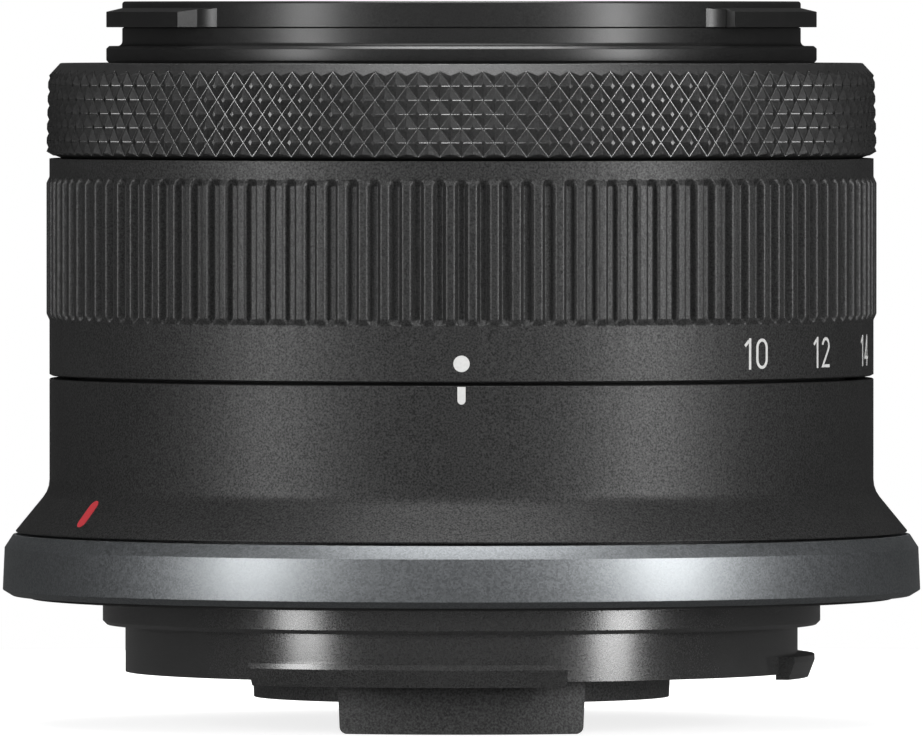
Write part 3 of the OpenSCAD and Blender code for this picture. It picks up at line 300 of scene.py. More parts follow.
def laminate(name):
    """Circuit board lacquer over copper tracks."""
    finish, bench = new_finish(name)
    place = bench.place()
    tracks = bench.node("ShaderNodeTexBrick", {}, {
        "Vector": place, "Color1": tone(1.0), "Color2": tone(1.0), "Mortar": tone(0.0),
        "Scale": 1400.0, "Mortar Size": 0.035})
    grey = bench.node("ShaderNodeSeparateColor", {}, {"Color": tracks})
    coated(bench,
           Base_Color=bench.blended(grey, (0.10, 0.14, 0.05, 1.0), (0.02, 0.075, 0.04, 1.0)),
           Roughness=0.35 + bench.noise(place, 2500.0) * 0.15, Normal=bench.bump(grey, 0.00002))
    return finish


# Knurl: pyramids round the ring, half a pyramid's height, the first ridge, and sizes in mm
CELLS, ROW_HALF, FIRST_ROW = 120, 1.045, 33.415
VALLEY_R, KNURL_DEPTH, BLUNT, TAPER = 30.878, 0.36, 0.8, 0.026
VALLEY_ROUND, RIDGE_ROUND = 0.08, 0.2  # as shares of a pyramid
SKIN_FIT = 0.00004  # how near, in metres, a point of the skin lies to the pyramids
# Colours of the knurl's lines, a painted highlight lighter still in the valleys, and their roughness
LINE_HIGHLIGHT_SHADE, VALLEY_HIGHLIGHT_SHADE, LINE_ROUGH, TIP_ROUGH = 0.085, 0.095, 0.22, 0.12
# Grip: ribs round the ring, and sizes in mm
GRIP_COUNT, RIB_R, BODY_R = 120, 31.22, 31.0
GRIP_FOOT, GRIP_TOP, GRIP_RAMP = 20.97, 31.73, 0.46
RIB_EDGE, FLOOR_EDGE = (0.56, 0.08), (0.23, 0.05)  # middle and half width
# Metal share, colour and roughness of the rib and floor edges; the lighter colour is a painted highlight
RIB_SHINE, RIB_EDGE_HIGHLIGHT_SHADE, RIB_ROUGH = 0.4, 0.09, 0.26

# name, shade, roughness, grain, its depth, unevenness, gloss, speckle, glossy lines with a painted highlight
grained_black = moulded("grained_black", 0.017, 0.48, 7000.0, 0.000008, 0.16, 0.22, 0.9)
ribbed_black = moulded("ribbed_black", 0.019, 0.48, 7000.0, 0.000008, 0.16, 0.22, 0.9, rib_edges)
knurl_black = moulded("knurl_black", 0.014, 0.45, 7000.0, 0.000006, 0.16, 0.42, 0.4, knurl_lines)
satin_black = moulded("satin_black", 0.012, 0.335, 8000.0, 0.0000008, 0.06)
mount_black = moulded("mount_black", 0.034, 0.22, 8000.0, 0.0000008, 0.06, 1.0, 0.5)
block_black = moulded("block_black", 0.034, 0.5, 6500.0, 0.000012, 0.2, 0.22, 0.9)
# The baffle: the contact block's plastic made several times lighter, painted light against the shade under the
# mount
baffle_painted_light_black = moulded("baffle_painted_light_black", 0.09, 0.5, 6500.0, 0.000012, 0.2, 0.22, 0.9)
matt_black = moulded("matt_black", 0.012, 0.72, 6000.0, 0.000008)
chip_black = moulded("chip_black", 0.02, 0.45, 9000.0, 0.000004)
blade_film = moulded("blade_film", 0.015, 0.5, 5000.0, 0.000002)
grey_enamel = enamelled("grey_enamel", 0.28, (0.95, 1.0, 1.04))
bright_steel = metal("bright_steel", (0.62, 0.61, 0.59), 0.28, 9000.0)
turned_alloy = metal("turned_alloy", (0.80, 0.80, 0.79), 0.32, 7000.0)
plated_gold = metal("plated_gold", (0.95, 0.66, 0.24), 0.22, 12000.0)
front_glass = lens_glass("front_glass", (0.97, 0.99, 1.0), 310.0)
inner_glass = lens_glass("inner_glass", (0.98, 1.0, 0.99), 260.0)
green_board = laminate("green_board")
white_ink = ink("white_ink", (0.6, 0.6, 0.59))
red_ink = ink("red_ink", (0.46, 0.035, 0.045))

WORN = {
    matt_black: "guide_barrel front_bezel front_cell front_cell_clamp third_element_ring rear_frame "
                "focus_frame iris_base iris_lid iris_drive_ring cam_barrel control_retainer ring_sensor",
    satin_black: "rear_element_ring click_ring zoom_scale ring_scale focus_end_plate",
    mount_black: "bayonet_mount",
    chip_black: "circuit_chips focus_motor iris_motor",
    bright_steel: "mount_screws baffle_screws click_spring zoom_brush drive_keys front_rollers rear_rollers "
                  "focus_rods lead_screw",
    block_black: "contact_block",
    baffle_painted_light_black: "rear_baffle",
    turned_alloy: "iris_pinion",
    plated_gold: "contact_flex",
    green_board: "circuit_board",
    front_glass: "first_element",
    inner_glass: "second_element third_element fourth_element fifth_element focus_element rear_element",
    blade_film: " ".join(f"iris_blade_{n}" for n in range(1, 8)),
}
for finish, names in WORN.items():
    for name in names.split():
        for place in nodes[name].material_slots:
            place.material = finish


def rounded(profile):
    """A closed profile of (radius, height) or (radius, height, corner round) in mm, as plain points."""
    corners = [Vector(corner[:2]) for corner in profile]
    line = []
    for at, corner in enumerate(profile):
        here, back, ahead = corners[at], corners[at - 1], corners[(at + 1) % len(corners)]
        if len(corner) < 3:
            line.append(here)
            continue
        to_back, to_ahead = (back - here).normalized(), (ahead - here).normalized()
        turn = pi - to_back.angle(to_ahead)
        reach = corner[2] * tan(turn / 2)
        middle = here + (to_back + to_ahead).normalized() * (corner[2] / cos(turn / 2))
        first = here + to_back * reach - middle
        count = max(3, ceil(turn / radians(14)))
        sense = 1 if to_back.x * to_ahead.y - to_back.y * to_ahead.x < 0 else -1
        for step in range(count + 1):
            swing = sense * turn * step / count
            line.append(middle + Vector((first.x * cos(swing) - first.y * sin(swing),
                                         first.x * sin(swing) + first.y * cos(swing))))
    return np.array(line)


def mesh_piece(name, points, faces, finish, sharp=SHARP):
    """A piece of points in mm, its doubles merged and its faces turned outwards."""
    mesh = bpy.data.meshes.new(name)
    mesh.from_pydata([tuple(point) for point in np.asarray(points) * MM], [], faces, shade_flat=False)
    mesh.materials.append(finish)
    piece = bpy.data.objects.new(name, mesh)
    bpy.context.scene.collection.objects.link(piece)
    tidied(mesh, sharp)
    return piece


def tidied(mesh, sharp=SHARP):
    """Merges doubles, turns faces outwards, and shades smooth up to a crease angle."""
    work = bmesh.new()
    work.from_mesh(mesh)
    bmesh.ops.remove_doubles(work, verts=work.verts, dist=2e-7)
    bmesh.ops.recalc_face_normals(work, faces=work.faces)
    for face in work.faces:
        face.smooth = True
    work.to_mesh(mesh)
    work.free()
    mesh.set_sharp_from_angle(angle=sharp)


def turned(name, line, finish, columns=288, whole=True, rising=None, sharp=SHARP):
    """A closed profile swept round the axis: a whole ring, or an arc with capped ends.
    columns is a count, or the angles themselves, and line one profile, or one for each angle.
    rising says for a column and a row which way that quad is split."""
    line = np.asarray(line)
    angles = columns if np.ndim(columns) else 2 * pi * np.arange(columns) / columns
    count, rows = len(angles), line.shape[-2]
    points = [(radius * cos(angle), radius * sin(angle), height)
              for angle, drawn in zip(angles, np.broadcast_to(line, (count, rows, 2)))
              for radius, height in drawn]
    faces = [(col * rows + row, (col + 1) % count * rows + row,
              (col + 1) % count * rows + (row + 1) % rows, col * rows + (row + 1) % rows)
             for col in range(count if whole else count - 1) for row in range(rows)]
    if not whole:
        faces += [tuple(range(rows)), tuple(range((count - 1) * rows, count * rows))]
    if rising:
        split = [(a, b, c, d) if rising(a // rows, a % rows) else (b, c, d, a) for a, b, c, d in faces]
        faces = [half for a, b, c, d in split for half in ((a, b, c), (a, c, d))]
    return mesh_piece(name, points, faces, finish, sharp)


def made_by(piece, tree_name, wanted, build, finish, sharp=SHARP):
    """Runs a Geometry Nodes tree with named inputs on a piece, and keeps the result as a plain mesh."""
    tree = bpy.data.node_groups.new(tree_name, "GeometryNodeTree")
    kinds = {int: "NodeSocketInt", float: "NodeSocketFloat"}

    def socket(name, kind, way="INPUT"):
        return tree.interface.new_socket(name, in_out=way, socket_type=kind).identifier

    socket("Geometry", "NodeSocketGeometry")
    ids = {name: socket(name, kinds[type(value)]) for name, value in wanted.items()}
    ids["Finish"] = socket("Finish", "NodeSocketMaterial")
    socket("Geometry", "NodeSocketGeometry", "OUTPUT")
    bench = Bench(tree)
    given = bench.node("NodeGroupInput")
    shape = bench.node("GeometryNodeRealizeInstances", {}, {"Geometry": build(bench, given)})
    dressed = bench.node("GeometryNodeSetMaterial", {}, {
        "Geometry": shape, "Material": given.other("Finish")})
    bench.node("NodeGroupOutput", {}, {"Geometry": dressed})
    modifier = piece.modifiers.new(tree_name, "NODES")
    modifier.node_group = tree
    for name, value in wanted.items():
        modifier[ids[name]] = value
    modifier[ids["Finish"]] = finish
    graph = bpy.context.evaluated_depsgraph_get()
    mesh = bpy.data.meshes.new_from_object(piece.evaluated_get(graph), depsgraph=graph)
    piece.modifiers.clear()
    piece.data = mesh
    tidied(mesh, sharp)
    return piece


def polar(bench):
    """Angle round the axis, radius and height of each point, with its x and y."""
    apart = bench.node("ShaderNodeSeparateXYZ", {}, {0: bench.node("GeometryNodeInputPosition")})
    across, deep, height = apart, apart.other("Y"), apart.other("Z")
    return deep.maths("ARCTAN2", deep, across), (across * across + deep * deep) ** 0.5, height, across, deep


def pushed(bench, geometry, outside, radius, across, deep, height, new_radius):
    """Moves the points that lie outside a radius to a new radius."""
    share = new_radius / radius
    target = bench.node("ShaderNodeCombineXYZ", {}, {"X": across * share, "Y": deep * share, "Z": height})
    return bench.node("GeometryNodeSetPosition", {}, {
        "Geometry": geometry, "Selection": radius > outside, "Position": target})


def round_row(bench, given):
    """Copies of the piece in a row round the axis."""
    row = bench.node("GeometryNodePoints", {}, {"Count": given.other("Count")})
    turn = given.other("First angle") + bench.node("GeometryNodeInputIndex") * given.other("Step angle")
    return bench.node("GeometryNodeInstanceOnPoints", {}, {
        "Points": row, "Instance": given,
        "Rotation": bench.node("ShaderNodeCombineXYZ", {}, {"Z": turn})})


def diamond_skin(bench, given):
    """Raises rows of blunt pyramids on the outside of a ring, cut by a cone at each edge."""
    angle, radius, height, across, deep = polar(bench)
    over = (angle - NEAR) / given.other("Half pitch")
    up = (height - given.other("First row")) / given.other("Half row")
    rise, fall = abs((over + up) % 2 - 1), abs((over - up) % 2 - 1)
    blunt = ((1 - rise.largest(fall)) / given.other("Blunt share")).smallest(1.0)
    valley = given.other("Valley radius") - up * given.other("Half row") * given.other("Taper")
    skin = valley + given.other("Depth") * blunt
    top = given.other("Top radius") + (given.other("Top") - height) * given.other("Top slope")
    foot = given.other("Foot radius") + (height - given.other("Foot")) * given.other("Foot slope")
    return pushed(bench, given, given.other("Outside"), radius, across, deep, height,
                  skin.smallest(top, 0.00006).smallest(foot, 0.00004))


def grip_skin(bench, given):
    """Cuts upright grooves with sloping ends into the outside of a ring, and raises the ribs between them."""
    angle, radius, height, across, deep = polar(bench)
    pitch = given.other("Pitch angle")
    aside = abs(((angle - NEAR) / pitch + 0.5) % 1 - 0.5) * pitch * given.other("Rib radius")
    floor, rib = given.other("Floor radius"), given.other("Rib radius")
    flank = floor + (aside - given.other("Floor half")) / given.other("Flank width") * (rib - floor)
    skin = flank.smallest(rib, given.other("Edge round")).largest(floor, given.other("Floor round"))
    ramp = given.other("Ramp")
    share = ((height - given.other("Foot")) / ramp).smallest((given.other("Top") - height) / ramp)
    eased = share.smallest(1.0, 0.12).largest(0.0, 0.12)
    body = given.other("Body radius")
    return pushed(bench, given, given.other("Outside"), radius, across, deep, height,
                  body + eased * (skin - body))


def thread_ridge(bench, given):
    """A ridge wound round the bore as a screw thread."""
    coil = bench.node("GeometryNodeCurveSpiral", {}, {
        "Resolution": given.other("Steps"), "Rotations": given.other("Turns"),
        "Start Radius": given.other("Radius"), "End Radius": given.other("Radius"),
        "Height": given.other("Rise"), "Reverse": False})
    raised = bench.node("GeometryNodeSetPosition", {}, {
        "Geometry": coil, "Offset": bench.node("ShaderNodeCombineXYZ", {}, {"Z": given.other("Foot")})})
    upright = bench.node("GeometryNodeSetCurveNormal", {"mode": "Z_UP"}, {"Curve": raised})
    section = bench.node("GeometryNodeCurvePrimitiveCircle", {}, {
        "Resolution": 4, "Radius": given.other("Section")})
    return bench.node("GeometryNodeCurveToMesh", {}, {
        "Curve": upright, "Profile Curve": section, "Fill Caps": True})


def stands_for(piece, body, slot, *names):
    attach(piece, body)
    if names:
        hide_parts(*names)
    return piece


# Main rings

accent = turned("accent_ring_turned", rounded([
    (32.03, 0.26), (33.8, 0.26, 0.06), (34.52, 0.7, 0.1), (34.38, 3.87, 0.16), (33.74, 4.85, 0.05),
    (32.3, 4.85), (32.3, 2.8), (31.85, 2.8), (31.85, 1.43), (32.03, 1.43)]), grey_enamel, 320)
stands_for(accent, "base", "grey_paint", "accent_ring")
# A thin matt black ring under the accent ring's lower edge: a dark piece put where the gap shows only shade,
# painted shade
painted_shade_ring = turned("accent_ring_painted_shade", [(32.02, 0.02), (32.4, 0.02), (32.4, 0.27), (32.02, 0.27)], matt_black, 288)
stands_for(painted_shade_ring, "base", "black_plastic")

barrel = turned("rear_barrel_turned", rounded([
    (30.87, 2.83), (32.27, 2.83), (32.27, 5.03), (33.62, 5.03, 0.08), (31.0, 8.23, 2.1), (31.0, 16.58, 0.1),
    (29.9, 16.58), (29.9, 6.31), (30.87, 4.61)]), grained_black, 320)
stands_for(barrel, "base", "black_plastic", "rear_barrel")

half_pitch = pi * RIB_R / GRIP_COUNT
aside = np.array([0.0, 0.13, 0.18, 0.22, 0.26, 0.32, 0.37, 0.42, 0.47, 0.52, 0.57, 0.62, 0.68, 0.74,
                  half_pitch])
turns = np.concatenate([-aside[:0:-1], aside[:-1]]) / RIB_R
grip_angles = (NEAR + np.arange(GRIP_COUNT)[:, None] * 2 * pi / GRIP_COUNT + turns).ravel()
foot, top, ramp = GRIP_FOOT, GRIP_TOP, GRIP_RAMP
grip_rows = [foot - 0.1, foot, foot + 0.06, foot + 0.12, foot + ramp - 0.08, foot + ramp, foot + ramp + 0.08]
grip_rows += [(foot + top) / 2] + [foot + top - row for row in grip_rows[::-1]]
grip_line = np.concatenate([
    rounded([(28.9, 16.79), (30.8, 16.79), (BODY_R, 16.92, 0.08), (BODY_R, 18.5)])[:-1],
    [(BODY_R, row) for row in grip_rows],
    rounded([(BODY_R, 32.0), (BODY_R, 33.12, 0.1), (28.9, 33.12)])[1:]])
zoom_ring = turned("zoom_ring_ribbed", grip_line, ribbed_black, grip_angles)
made_by(zoom_ring, "grip_ribs", {
    "Pitch angle": 2 * pi / GRIP_COUNT, "Rib radius": RIB_R * MM, "Floor radius": 30.66 * MM,
    "Body radius": BODY_R * MM, "Floor half": 0.22 * MM, "Flank width": 0.27 * MM,
    "Edge round": 0.34 * MM, "Floor round": 0.1 * MM,
    "Foot": foot * MM, "Top": top * MM, "Ramp": ramp * MM, "Outside": 30.95 * MM}, grip_skin, ribbed_black)
stands_for(zoom_ring, "zoom", "black_plastic", "zoom_ring")

KNURL_FOOT_R, KNURL_FOOT = 30.72, 33.33
marks = np.array([0.0, 0.05, 0.2, 0.4, 0.6, 0.8, 0.95])
knurl_angles = NEAR + np.concatenate([marks + cell for cell in range(2 * CELLS)]) * pi / CELLS
knurl_rows = FIRST_ROW + np.concatenate([marks + row for row in range(-1, 7)]) * ROW_HALF
knurl_rows = knurl_rows[(knurl_rows > 33.36) & (knurl_rows < 39.3)]
knurl_rows = np.concatenate([knurl_rows, np.arange(39.34, 40.19, 0.084)])
# The foot leans back, so that the groove above the zoom ring stays dark
knurl_foot = [(28.69, 33.15), (30.1, 33.15), (30.6, 33.33), (KNURL_FOOT_R, KNURL_FOOT)]
knurl_line = np.concatenate([
    knurl_foot, [(31.2, row) for row in knurl_rows],
    [(30.22, 40.23), (30.16, 40.27), (30.05, 40.285), (29.85, 40.285), (29.8, 40.08), (26.64, 40.08),
     (26.64, 39.48), (28.69, 39.48), (28.69, 37.43), (27.89, 37.43), (27.89, 36.33), (28.69, 36.33)]])


def valley_rises(column, row):
    """Which way the valley between two pyramids crosses a quad of the knurl."""
    middle = (knurl_line[row][1] + knurl_line[(row + 1) % len(knurl_line)][1]) / 2
    return (column // len(marks) + int((middle - FIRST_ROW) // ROW_HALF)) % 2 == 0


control_ring = turned("control_ring_knurled", knurl_line, knurl_black, knurl_angles, rising=valley_rises)
made_by(control_ring, "knurl", {
    "Half pitch": pi / CELLS, "First row": FIRST_ROW * MM, "Half row": ROW_HALF * MM,
    "Valley radius": VALLEY_R * MM, "Depth": KNURL_DEPTH * MM, "Blunt share": BLUNT, "Taper": TAPER,
    "Top": 39.64 * MM, "Top radius": 30.76 * MM, "Top slope": 0.92,
    "Foot": KNURL_FOOT * MM, "Foot radius": KNURL_FOOT_R * MM, "Foot slope": 1.7,
    "Outside": 31.0 * MM}, diamond_skin, knurl_black, radians(70))
stands_for(control_ring, "control", "black_plastic", "control_ring")

nose = turned("front_barrel_turned", rounded([
    (25.24, 17.87), (26.54, 17.87, 0.15), (26.54, 40.33), (26.58, 40.33),
    (26.72, 40.5, 0.05), (26.72, 41.36, 0.08), (26.5, 41.56, 0.06), (25.52, 41.56, 0.36),
    (25.52, 42.89), (25.4, 42.95), (25.52, 43.01), (25.52, 44.91, 0.22), (24.86, 44.91, 0.08),
    (24.5, 44.55), (24.5, 41.51), (23.63, 41.51), (23.63, 40.78), (22.6, 40.78), (22.6, 39.98),
    (25.24, 39.98)]),
    satin_black, 288)
stands_for(nose, "front", "satin_plastic", "front_barrel")

# Each hood lug rises from the rim in a rounded lead-in at both ends, and steeply from there
LUG_ROOT_R, LUG_BOTTOM, LUG_TOP, LUG_SLOPE = 25.2, 42.96, 44.49, 0.237
LUG_FOOT_R, LUG_STEP_R, LUG_R = 25.48, 25.92, 26.72
lead = np.linspace(0.0, 1.0, 7)
lead_radius = LUG_FOOT_R + (LUG_STEP_R - LUG_FOOT_R) * (1 - (1 - lead) ** 2)
lug_angles = np.concatenate([-44.8 + 4.1 * lead, np.linspace(-40.5, 37.8, 40), 44.8 - 4.1 * lead[::-1]])
lug_radii = np.concatenate([lead_radius, np.full(40, LUG_R), lead_radius[::-1]])
lug_lines = [
    rounded([(LUG_ROOT_R, LUG_BOTTOM), (radius, LUG_BOTTOM, 0.05),
             (radius, LUG_TOP - (radius - LUG_ROOT_R) * LUG_SLOPE, 0.06), (LUG_ROOT_R, LUG_TOP)])
    for radius in lug_radii]
for side, middle in (("right", 0.0), ("left", pi)):
    lug = turned(f"hood_lug_{side}", lug_lines, satin_black, middle + np.radians(lug_angles), False,
                 sharp=radians(20))
    stands_for(lug, "front", "satin_plastic")

THREAD_R = 24.5
thread = mesh_piece(
    "filter_thread_ridge", [(THREAD_R, 0, 42), (THREAD_R, 0.1, 42), (THREAD_R, 0, 42.1)], [(0, 1, 2)], satin_black)
made_by(thread, "thread", {
    "Steps": 128, "Turns": 3.6, "Radius": THREAD_R * MM, "Rise": 2.7 * MM, "Foot": 41.72 * MM,
    "Section": 0.34 * MM}, thread_ridge, satin_black)
stands_for(thread, "front", "satin_plastic")

pad = bpy.data.objects.new("contact_pads", bpy.data.meshes.new("contact_pads"))
bpy.context.scene.collection.objects.link(pad)
work = bmesh.new()
bmesh.ops.create_cube(work, size=1.0)
bmesh.ops.scale(work, vec=(1.9 * MM, 0.9 * MM, 0.25 * MM), verts=work.verts)
bmesh.ops.bevel(work, geom=work.edges[:], offset=0.11 * MM, segments=3, affect="EDGES", profile=0.5)
bmesh.ops.translate(work, vec=(21.2 * MM, 0, -9.265 * MM), verts=work.verts)
work.to_mesh(pad.data)
work.free()
pad.data.materials.append(plated_gold)
PAD_STEP = radians(3.7)
made_by(pad, "contact_row", {
    "Count": 12, "First angle": NEAR - 5.5 * PAD_STEP, "Step angle": PAD_STEP}, round_row, plated_gold)
stands_for(pad, "base", "gold", "contact_pins")


# Marks, in mm

PLATE = 0.05


def flat_shape(outline, thick=PLATE):
    """A flat plate from an outline in mm, as points and faces with a back and a front."""
    count = len(outline)
    points = [(x, y, -thick) for x, y in outline] + [(x, y, 0.0) for x, y in outline]
    faces = [tuple(range(count))[::-1], tuple(range(count, 2 * count))]
    faces += [(k, (k + 1) % count, count + (k + 1) % count, count + k) for k in range(count)]
    return np.array(points), faces


def capsule(width, low, high, low_round=True, high_round=True):
    half = width / 2
    swing = np.linspace(0, pi, 13)
    above = ([(half * cos(a), high - half + half * sin(a)) for a in swing] if high_round
             else [(half, high), (-half, high)])
    below = ([(-half * cos(a), low + half - half * sin(a)) for a in swing] if low_round
             else [(-half, low), (half, low)])
    return above + below


def round_the_barrel(points, azimuth, height, radius, lean=0.0, proud=0.03):
    """Lays flat points on the outside of a barrel, or on a cone that leans out towards its foot."""
    points = np.asarray(points, float)
    out = radius - points[:, 1] * sin(lean) + (points[:, 2] + proud) * cos(lean)
    up = height + points[:, 1] * cos(lean) + (points[:, 2] + proud) * sin(lean)
    angle = NEAR + radians(azimuth) + points[:, 0] / (radius - points[:, 1] * sin(lean))
    return np.stack([out * np.cos(angle), out * np.sin(angle), up], 1)


def oval(x, y, wide, tall, first=0.0, last=360.0, steps=28):
    """Points of an ellipse, from one angle to another."""
    return [(x + wide * cos(radians(a)), y + tall * sin(radians(a))) for a in np.linspace(first, last, steps)]


FIGURE_WIDTH = {"1": 0.77, "0": 1.32, "2": 1.32, "4": 1.36, "8": 1.36}
FIGURE_GAP, FIGURE_SQUASH, STROKE = 0.45, 0.955, 0.23
NUMBER_FOOT, DOT_HEIGHT, DOT_R, LINE_TOP = 17.62, 18.2, 0.605, 16.5
STRIPE_AZIMUTH, STRIPE_HEIGHT, STRIPE_R, STRIPE_LEAN = -59.6, 6.745, 32.217, radians(39.3)
FIGURES = {
    "1": [[(0.1, 1.83), (0.5, 2.24)], [(0.61, 0.0), (0.61, 2.43)]],
    "0": [oval(0.66, 1.66, 0.505, 0.615, 0, 180, 15) + oval(0.66, 0.77, 0.505, 0.615, 180, 360, 15)
          + [(1.165, 1.66)]],
    "2": [oval(0.66, 1.73, 0.49, 0.545, 172, -28, 16) + [(0.2, 0.155), (1.28, 0.155)]],
    "4": [[(0.93, 0.0), (0.93, 2.43)], [(0.88, 2.3), (0.17, 0.66), (1.32, 0.66)]],
    "8": [oval(0.67, 1.78, 0.43, 0.49), oval(0.67, 0.69, 0.505, 0.535)],
}


def stroke(path):
    """A flat stroke of even width along a path, as points and faces of a thin closed plate."""
    path = np.array(path)
    joined = np.allclose(path[0], path[-1], atol=0.01)
    path = path[:-1] if joined else path
    before = np.roll(path, 1, 0) if joined else np.vstack([2 * path[0] - path[1], path[:-1]])
    after = np.roll(path, -1, 0) if joined else np.vstack([path[1:], 2 * path[-1] - path[-2]])
    into, out = path - before, after - path
    into, out = into / np.linalg.norm(into, axis=1)[:, None], out / np.linalg.norm(out, axis=1)[:, None]
    mean = (into + out) / np.linalg.norm(into + out, axis=1)[:, None]
    reach = STROKE / 2 / np.maximum((mean * into).sum(1), 0.5)
    aside = np.stack([-mean[:, 1], mean[:, 0]], 1) * reach[:, None]
    count = len(path)
    points = np.vstack([np.c_[edge, np.full(count, level)]
                        for level in (-PLATE, 0.0) for edge in (path - aside, path + aside)])
    loops = [0, count, 3 * count, 2 * count]
    faces = []
    for here in range(count if joined else count - 1):
        ahead = (here + 1) % count
        for one, two in zip(loops, loops[1:] + loops[:1]):
            faces.append((one + here, two + here, two + ahead, one + ahead))
    if not joined:
        faces += [tuple(loop for loop in loops), tuple(loop + count - 1 for loop in loops)]
    return points, faces


def numeral(text, azimuth):
    """A scale number of thin printed strokes, bent round the zoom ring."""
    across = -(sum(FIGURE_WIDTH[figure] for figure in text) + FIGURE_GAP * (len(text) - 1)) / 2
    points, faces = [], []
    for figure in text:
        for path in FIGURES[figure]:
            more, plates = stroke(path)
            faces += [tuple(point + len(points) for point in plate) for plate in plates]
            points += [(x + across, y * FIGURE_SQUASH, z) for x, y, z in more]
        across += FIGURE_WIDTH[figure] + FIGURE_GAP
    bent = round_the_barrel(points, azimuth, NUMBER_FOOT, BODY_R, proud=0.012)
    mark = mesh_piece(f"scale_number_{text}", bent, faces, white_ink)
    stands_for(mark, "zoom", "grey_paint")


for text, azimuth in (("10", 44.8), ("12", 59.9), ("14", 76.8), ("18", 105.0)):
    numeral(text, azimuth)

points, faces = flat_shape([(DOT_R * cos(a), DOT_R * sin(a)) for a in np.arange(40) * pi / 20])
dot = mesh_piece("mount_index_dot", round_the_barrel(points, 0.0, DOT_HEIGHT, BODY_R), faces, white_ink)
stands_for(dot, "zoom", "grey_paint")
points, faces = flat_shape(capsule(0.6, -1.3, 0.0, high_round=False))
line = mesh_piece("scale_index_line", round_the_barrel(points, 0.0, LINE_TOP, BODY_R), faces, white_ink)
stands_for(line, "base", "grey_paint")
points, faces = flat_shape(capsule(1.1, -1.25, 1.25))
bent = round_the_barrel(points, STRIPE_AZIMUTH, STRIPE_HEIGHT, STRIPE_R, STRIPE_LEAN)
stripe = mesh_piece("mounting_stripe", bent, faces, red_ink)
stands_for(stripe, "base", "grey_paint")


# Floor, light and camera

def seen_directly(bench):
    """1 for what the camera sees straight, in gloss or through glass."""
    path = bench.node("ShaderNodeLightPath", output="Is Camera Ray")
    return path.largest(path.other("Is Glossy Ray")).largest(path.other("Is Transmission Ray"))


floor_finish, bench = new_finish("pale_floor")
place = bench.node("ShaderNodeSeparateXYZ", {}, {0: bench.place()})
away = (place * place + place.other("Y") * place.other("Y")) ** 0.5
# The floor's glow is lower near the object and rises outwards: painted shade round the object's base, which also
# evens out the floor's fall-off from the lamps
glow = (0.84 + (away - 0.03) / 0.12 * 0.16).smallest(1.0).largest(0.0) * seen_directly(bench)
paint = bench.node("ShaderNodeBsdfDiffuse", {}, {"Color": tone(0.5)})
shine = bench.node("ShaderNodeEmission", {}, {"Color": tone(1.0), "Strength": glow})
bench.node("ShaderNodeOutputMaterial", {}, {
    "Surface": bench.node("ShaderNodeAddShader", {}, {0: paint, 1: shine})})
FLOOR_Z, FLOOR_R, WALL, SIDES = -9.45, 170.0, 900.0, 96


def hoop(radius, height):
    return [(radius * cos(a), radius * sin(a), height) for a in np.arange(SIDES) * 2 * pi / SIDES]


floor = mesh_piece("floor", hoop(FLOOR_R, FLOOR_Z), [tuple(range(SIDES))], floor_finish)

card_finish, bench = new_finish("dark_card")
place = bench.node("ShaderNodeSeparateXYZ", {}, {0: bench.place()})
front = (-0.3 - place.other("Y")).smallest(0.6).largest(0.0)
bench.node("ShaderNodeOutputMaterial", {}, {"Surface": bench.node("ShaderNodeEmission", {}, {
    "Color": tone(1.0), "Strength": 0.024 + (place.other("Z") < -0.005) * 0.05
    + front * 0.4 * (1 - place.other("Z") * 1.4).largest(0.0)})})
panels = [(SIDES + k, SIDES + (k + 1) % SIDES, 2 * SIDES + (k + 1) % SIDES, 2 * SIDES + k) for k in range(SIDES)]
card = mesh_piece("dark_card", hoop(FLOOR_R, FLOOR_Z + 0.02) + hoop(WALL, -WALL) + hoop(WALL, 3000.0),
                  [tuple(range(SIDES))] + panels, card_finish)
card.visible_camera = card.visible_diffuse = card.visible_transmission = card.visible_shadow = False

CENTRE = Vector((0, 0, 17.29 * MM))


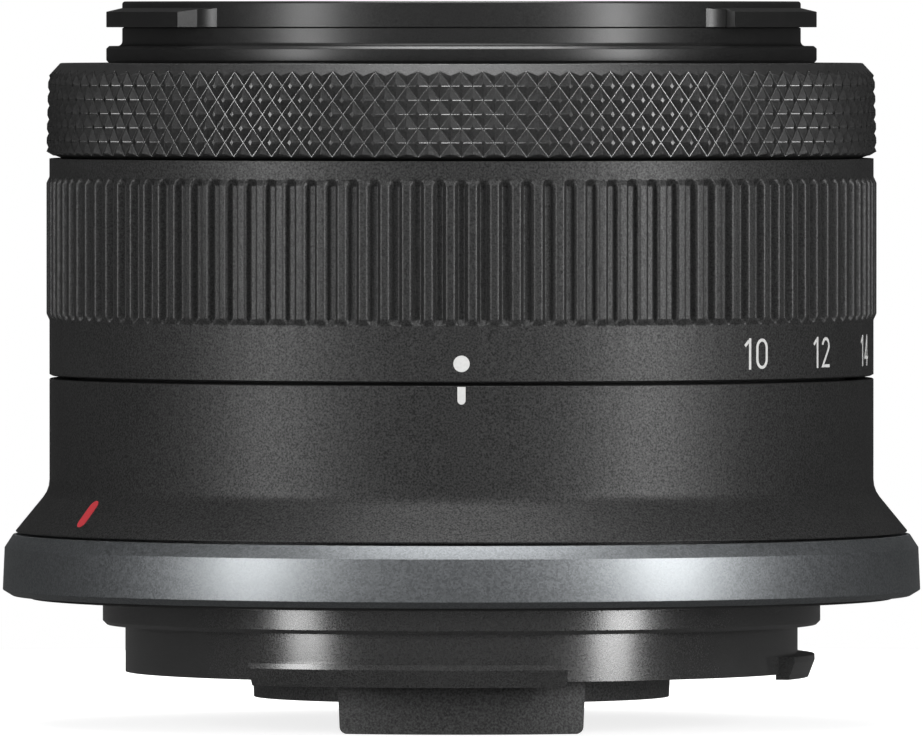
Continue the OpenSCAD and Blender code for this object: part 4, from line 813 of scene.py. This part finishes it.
def softbox(name, azimuth, elevation, distance, width, height, level):
    """A rectangular lamp aimed at the object; level is how bright its face is."""
    lamp = bpy.data.lights.new(name, "AREA")
    lamp.shape, lamp.size, lamp.size_y = "RECTANGLE", width, height
    lamp.energy = level * pi * width * height
    box = bpy.data.objects.new(name, lamp)
    bpy.context.scene.collection.objects.link(box)
    side, rise = radians(azimuth), radians(elevation)
    towards = Vector((sin(side) * cos(rise), -cos(side) * cos(rise), sin(rise)))
    box.location = CENTRE + towards * distance
    box.rotation_mode = "QUATERNION"
    box.rotation_quaternion = towards.to_track_quat("Z", "Y")
    box.visible_camera = False
    return box


# name, azimuth and elevation in degrees, distance, width and height in metres, level
softbox("left_strip", -53, 4, 0.7, 0.165, 0.7, 9.3)
softbox("right_strip", 52, 4, 0.7, 0.165, 0.7, 12.7)
softbox("overhead", 0, 72, 0.6, 0.42, 0.5, 2.7)
softbox("overhead_back", 180, 80, 0.6, 0.3, 0.2, 12.0)
softbox("front_fill", 0, 20, 1.0, 0.6, 0.6, 2.3).visible_glossy = False
softbox("back_fill", 180, 45, 0.9, 0.6, 0.5, 3.0).visible_glossy = False

world = bpy.data.worlds.new("studio")
world.use_nodes = True
world.node_tree.nodes.clear()
bench = Bench(world.node_tree)
level = 0.08 + seen_directly(bench) * 0.92
bench.node("ShaderNodeOutputWorld", {}, {"Surface": bench.node("ShaderNodeBackground", {}, {
    "Color": tone(1.0), "Strength": level})})
scene = bpy.context.scene
scene.world = world
scene.view_settings.view_transform = "Standard"

eye = bpy.data.objects.new("camera", bpy.data.cameras.new("camera"))
scene.collection.objects.link(eye)
VIEW_RISE, VIEW_DISTANCE, SENSOR_MM, LENS_MM = radians(1.05), 1.430, 36.0, 741.2
towards_eye = Vector((0, -cos(VIEW_RISE), sin(VIEW_RISE)))
eye.location = CENTRE + towards_eye * VIEW_DISTANCE
eye.rotation_mode = "QUATERNION"
eye.rotation_quaternion = towards_eye.to_track_quat("Z", "Y")
eye.data.sensor_width, eye.data.lens = SENSOR_MM, LENS_MM
eye.data.clip_start, eye.data.clip_end = 0.05, 20.0
scene.camera = eye
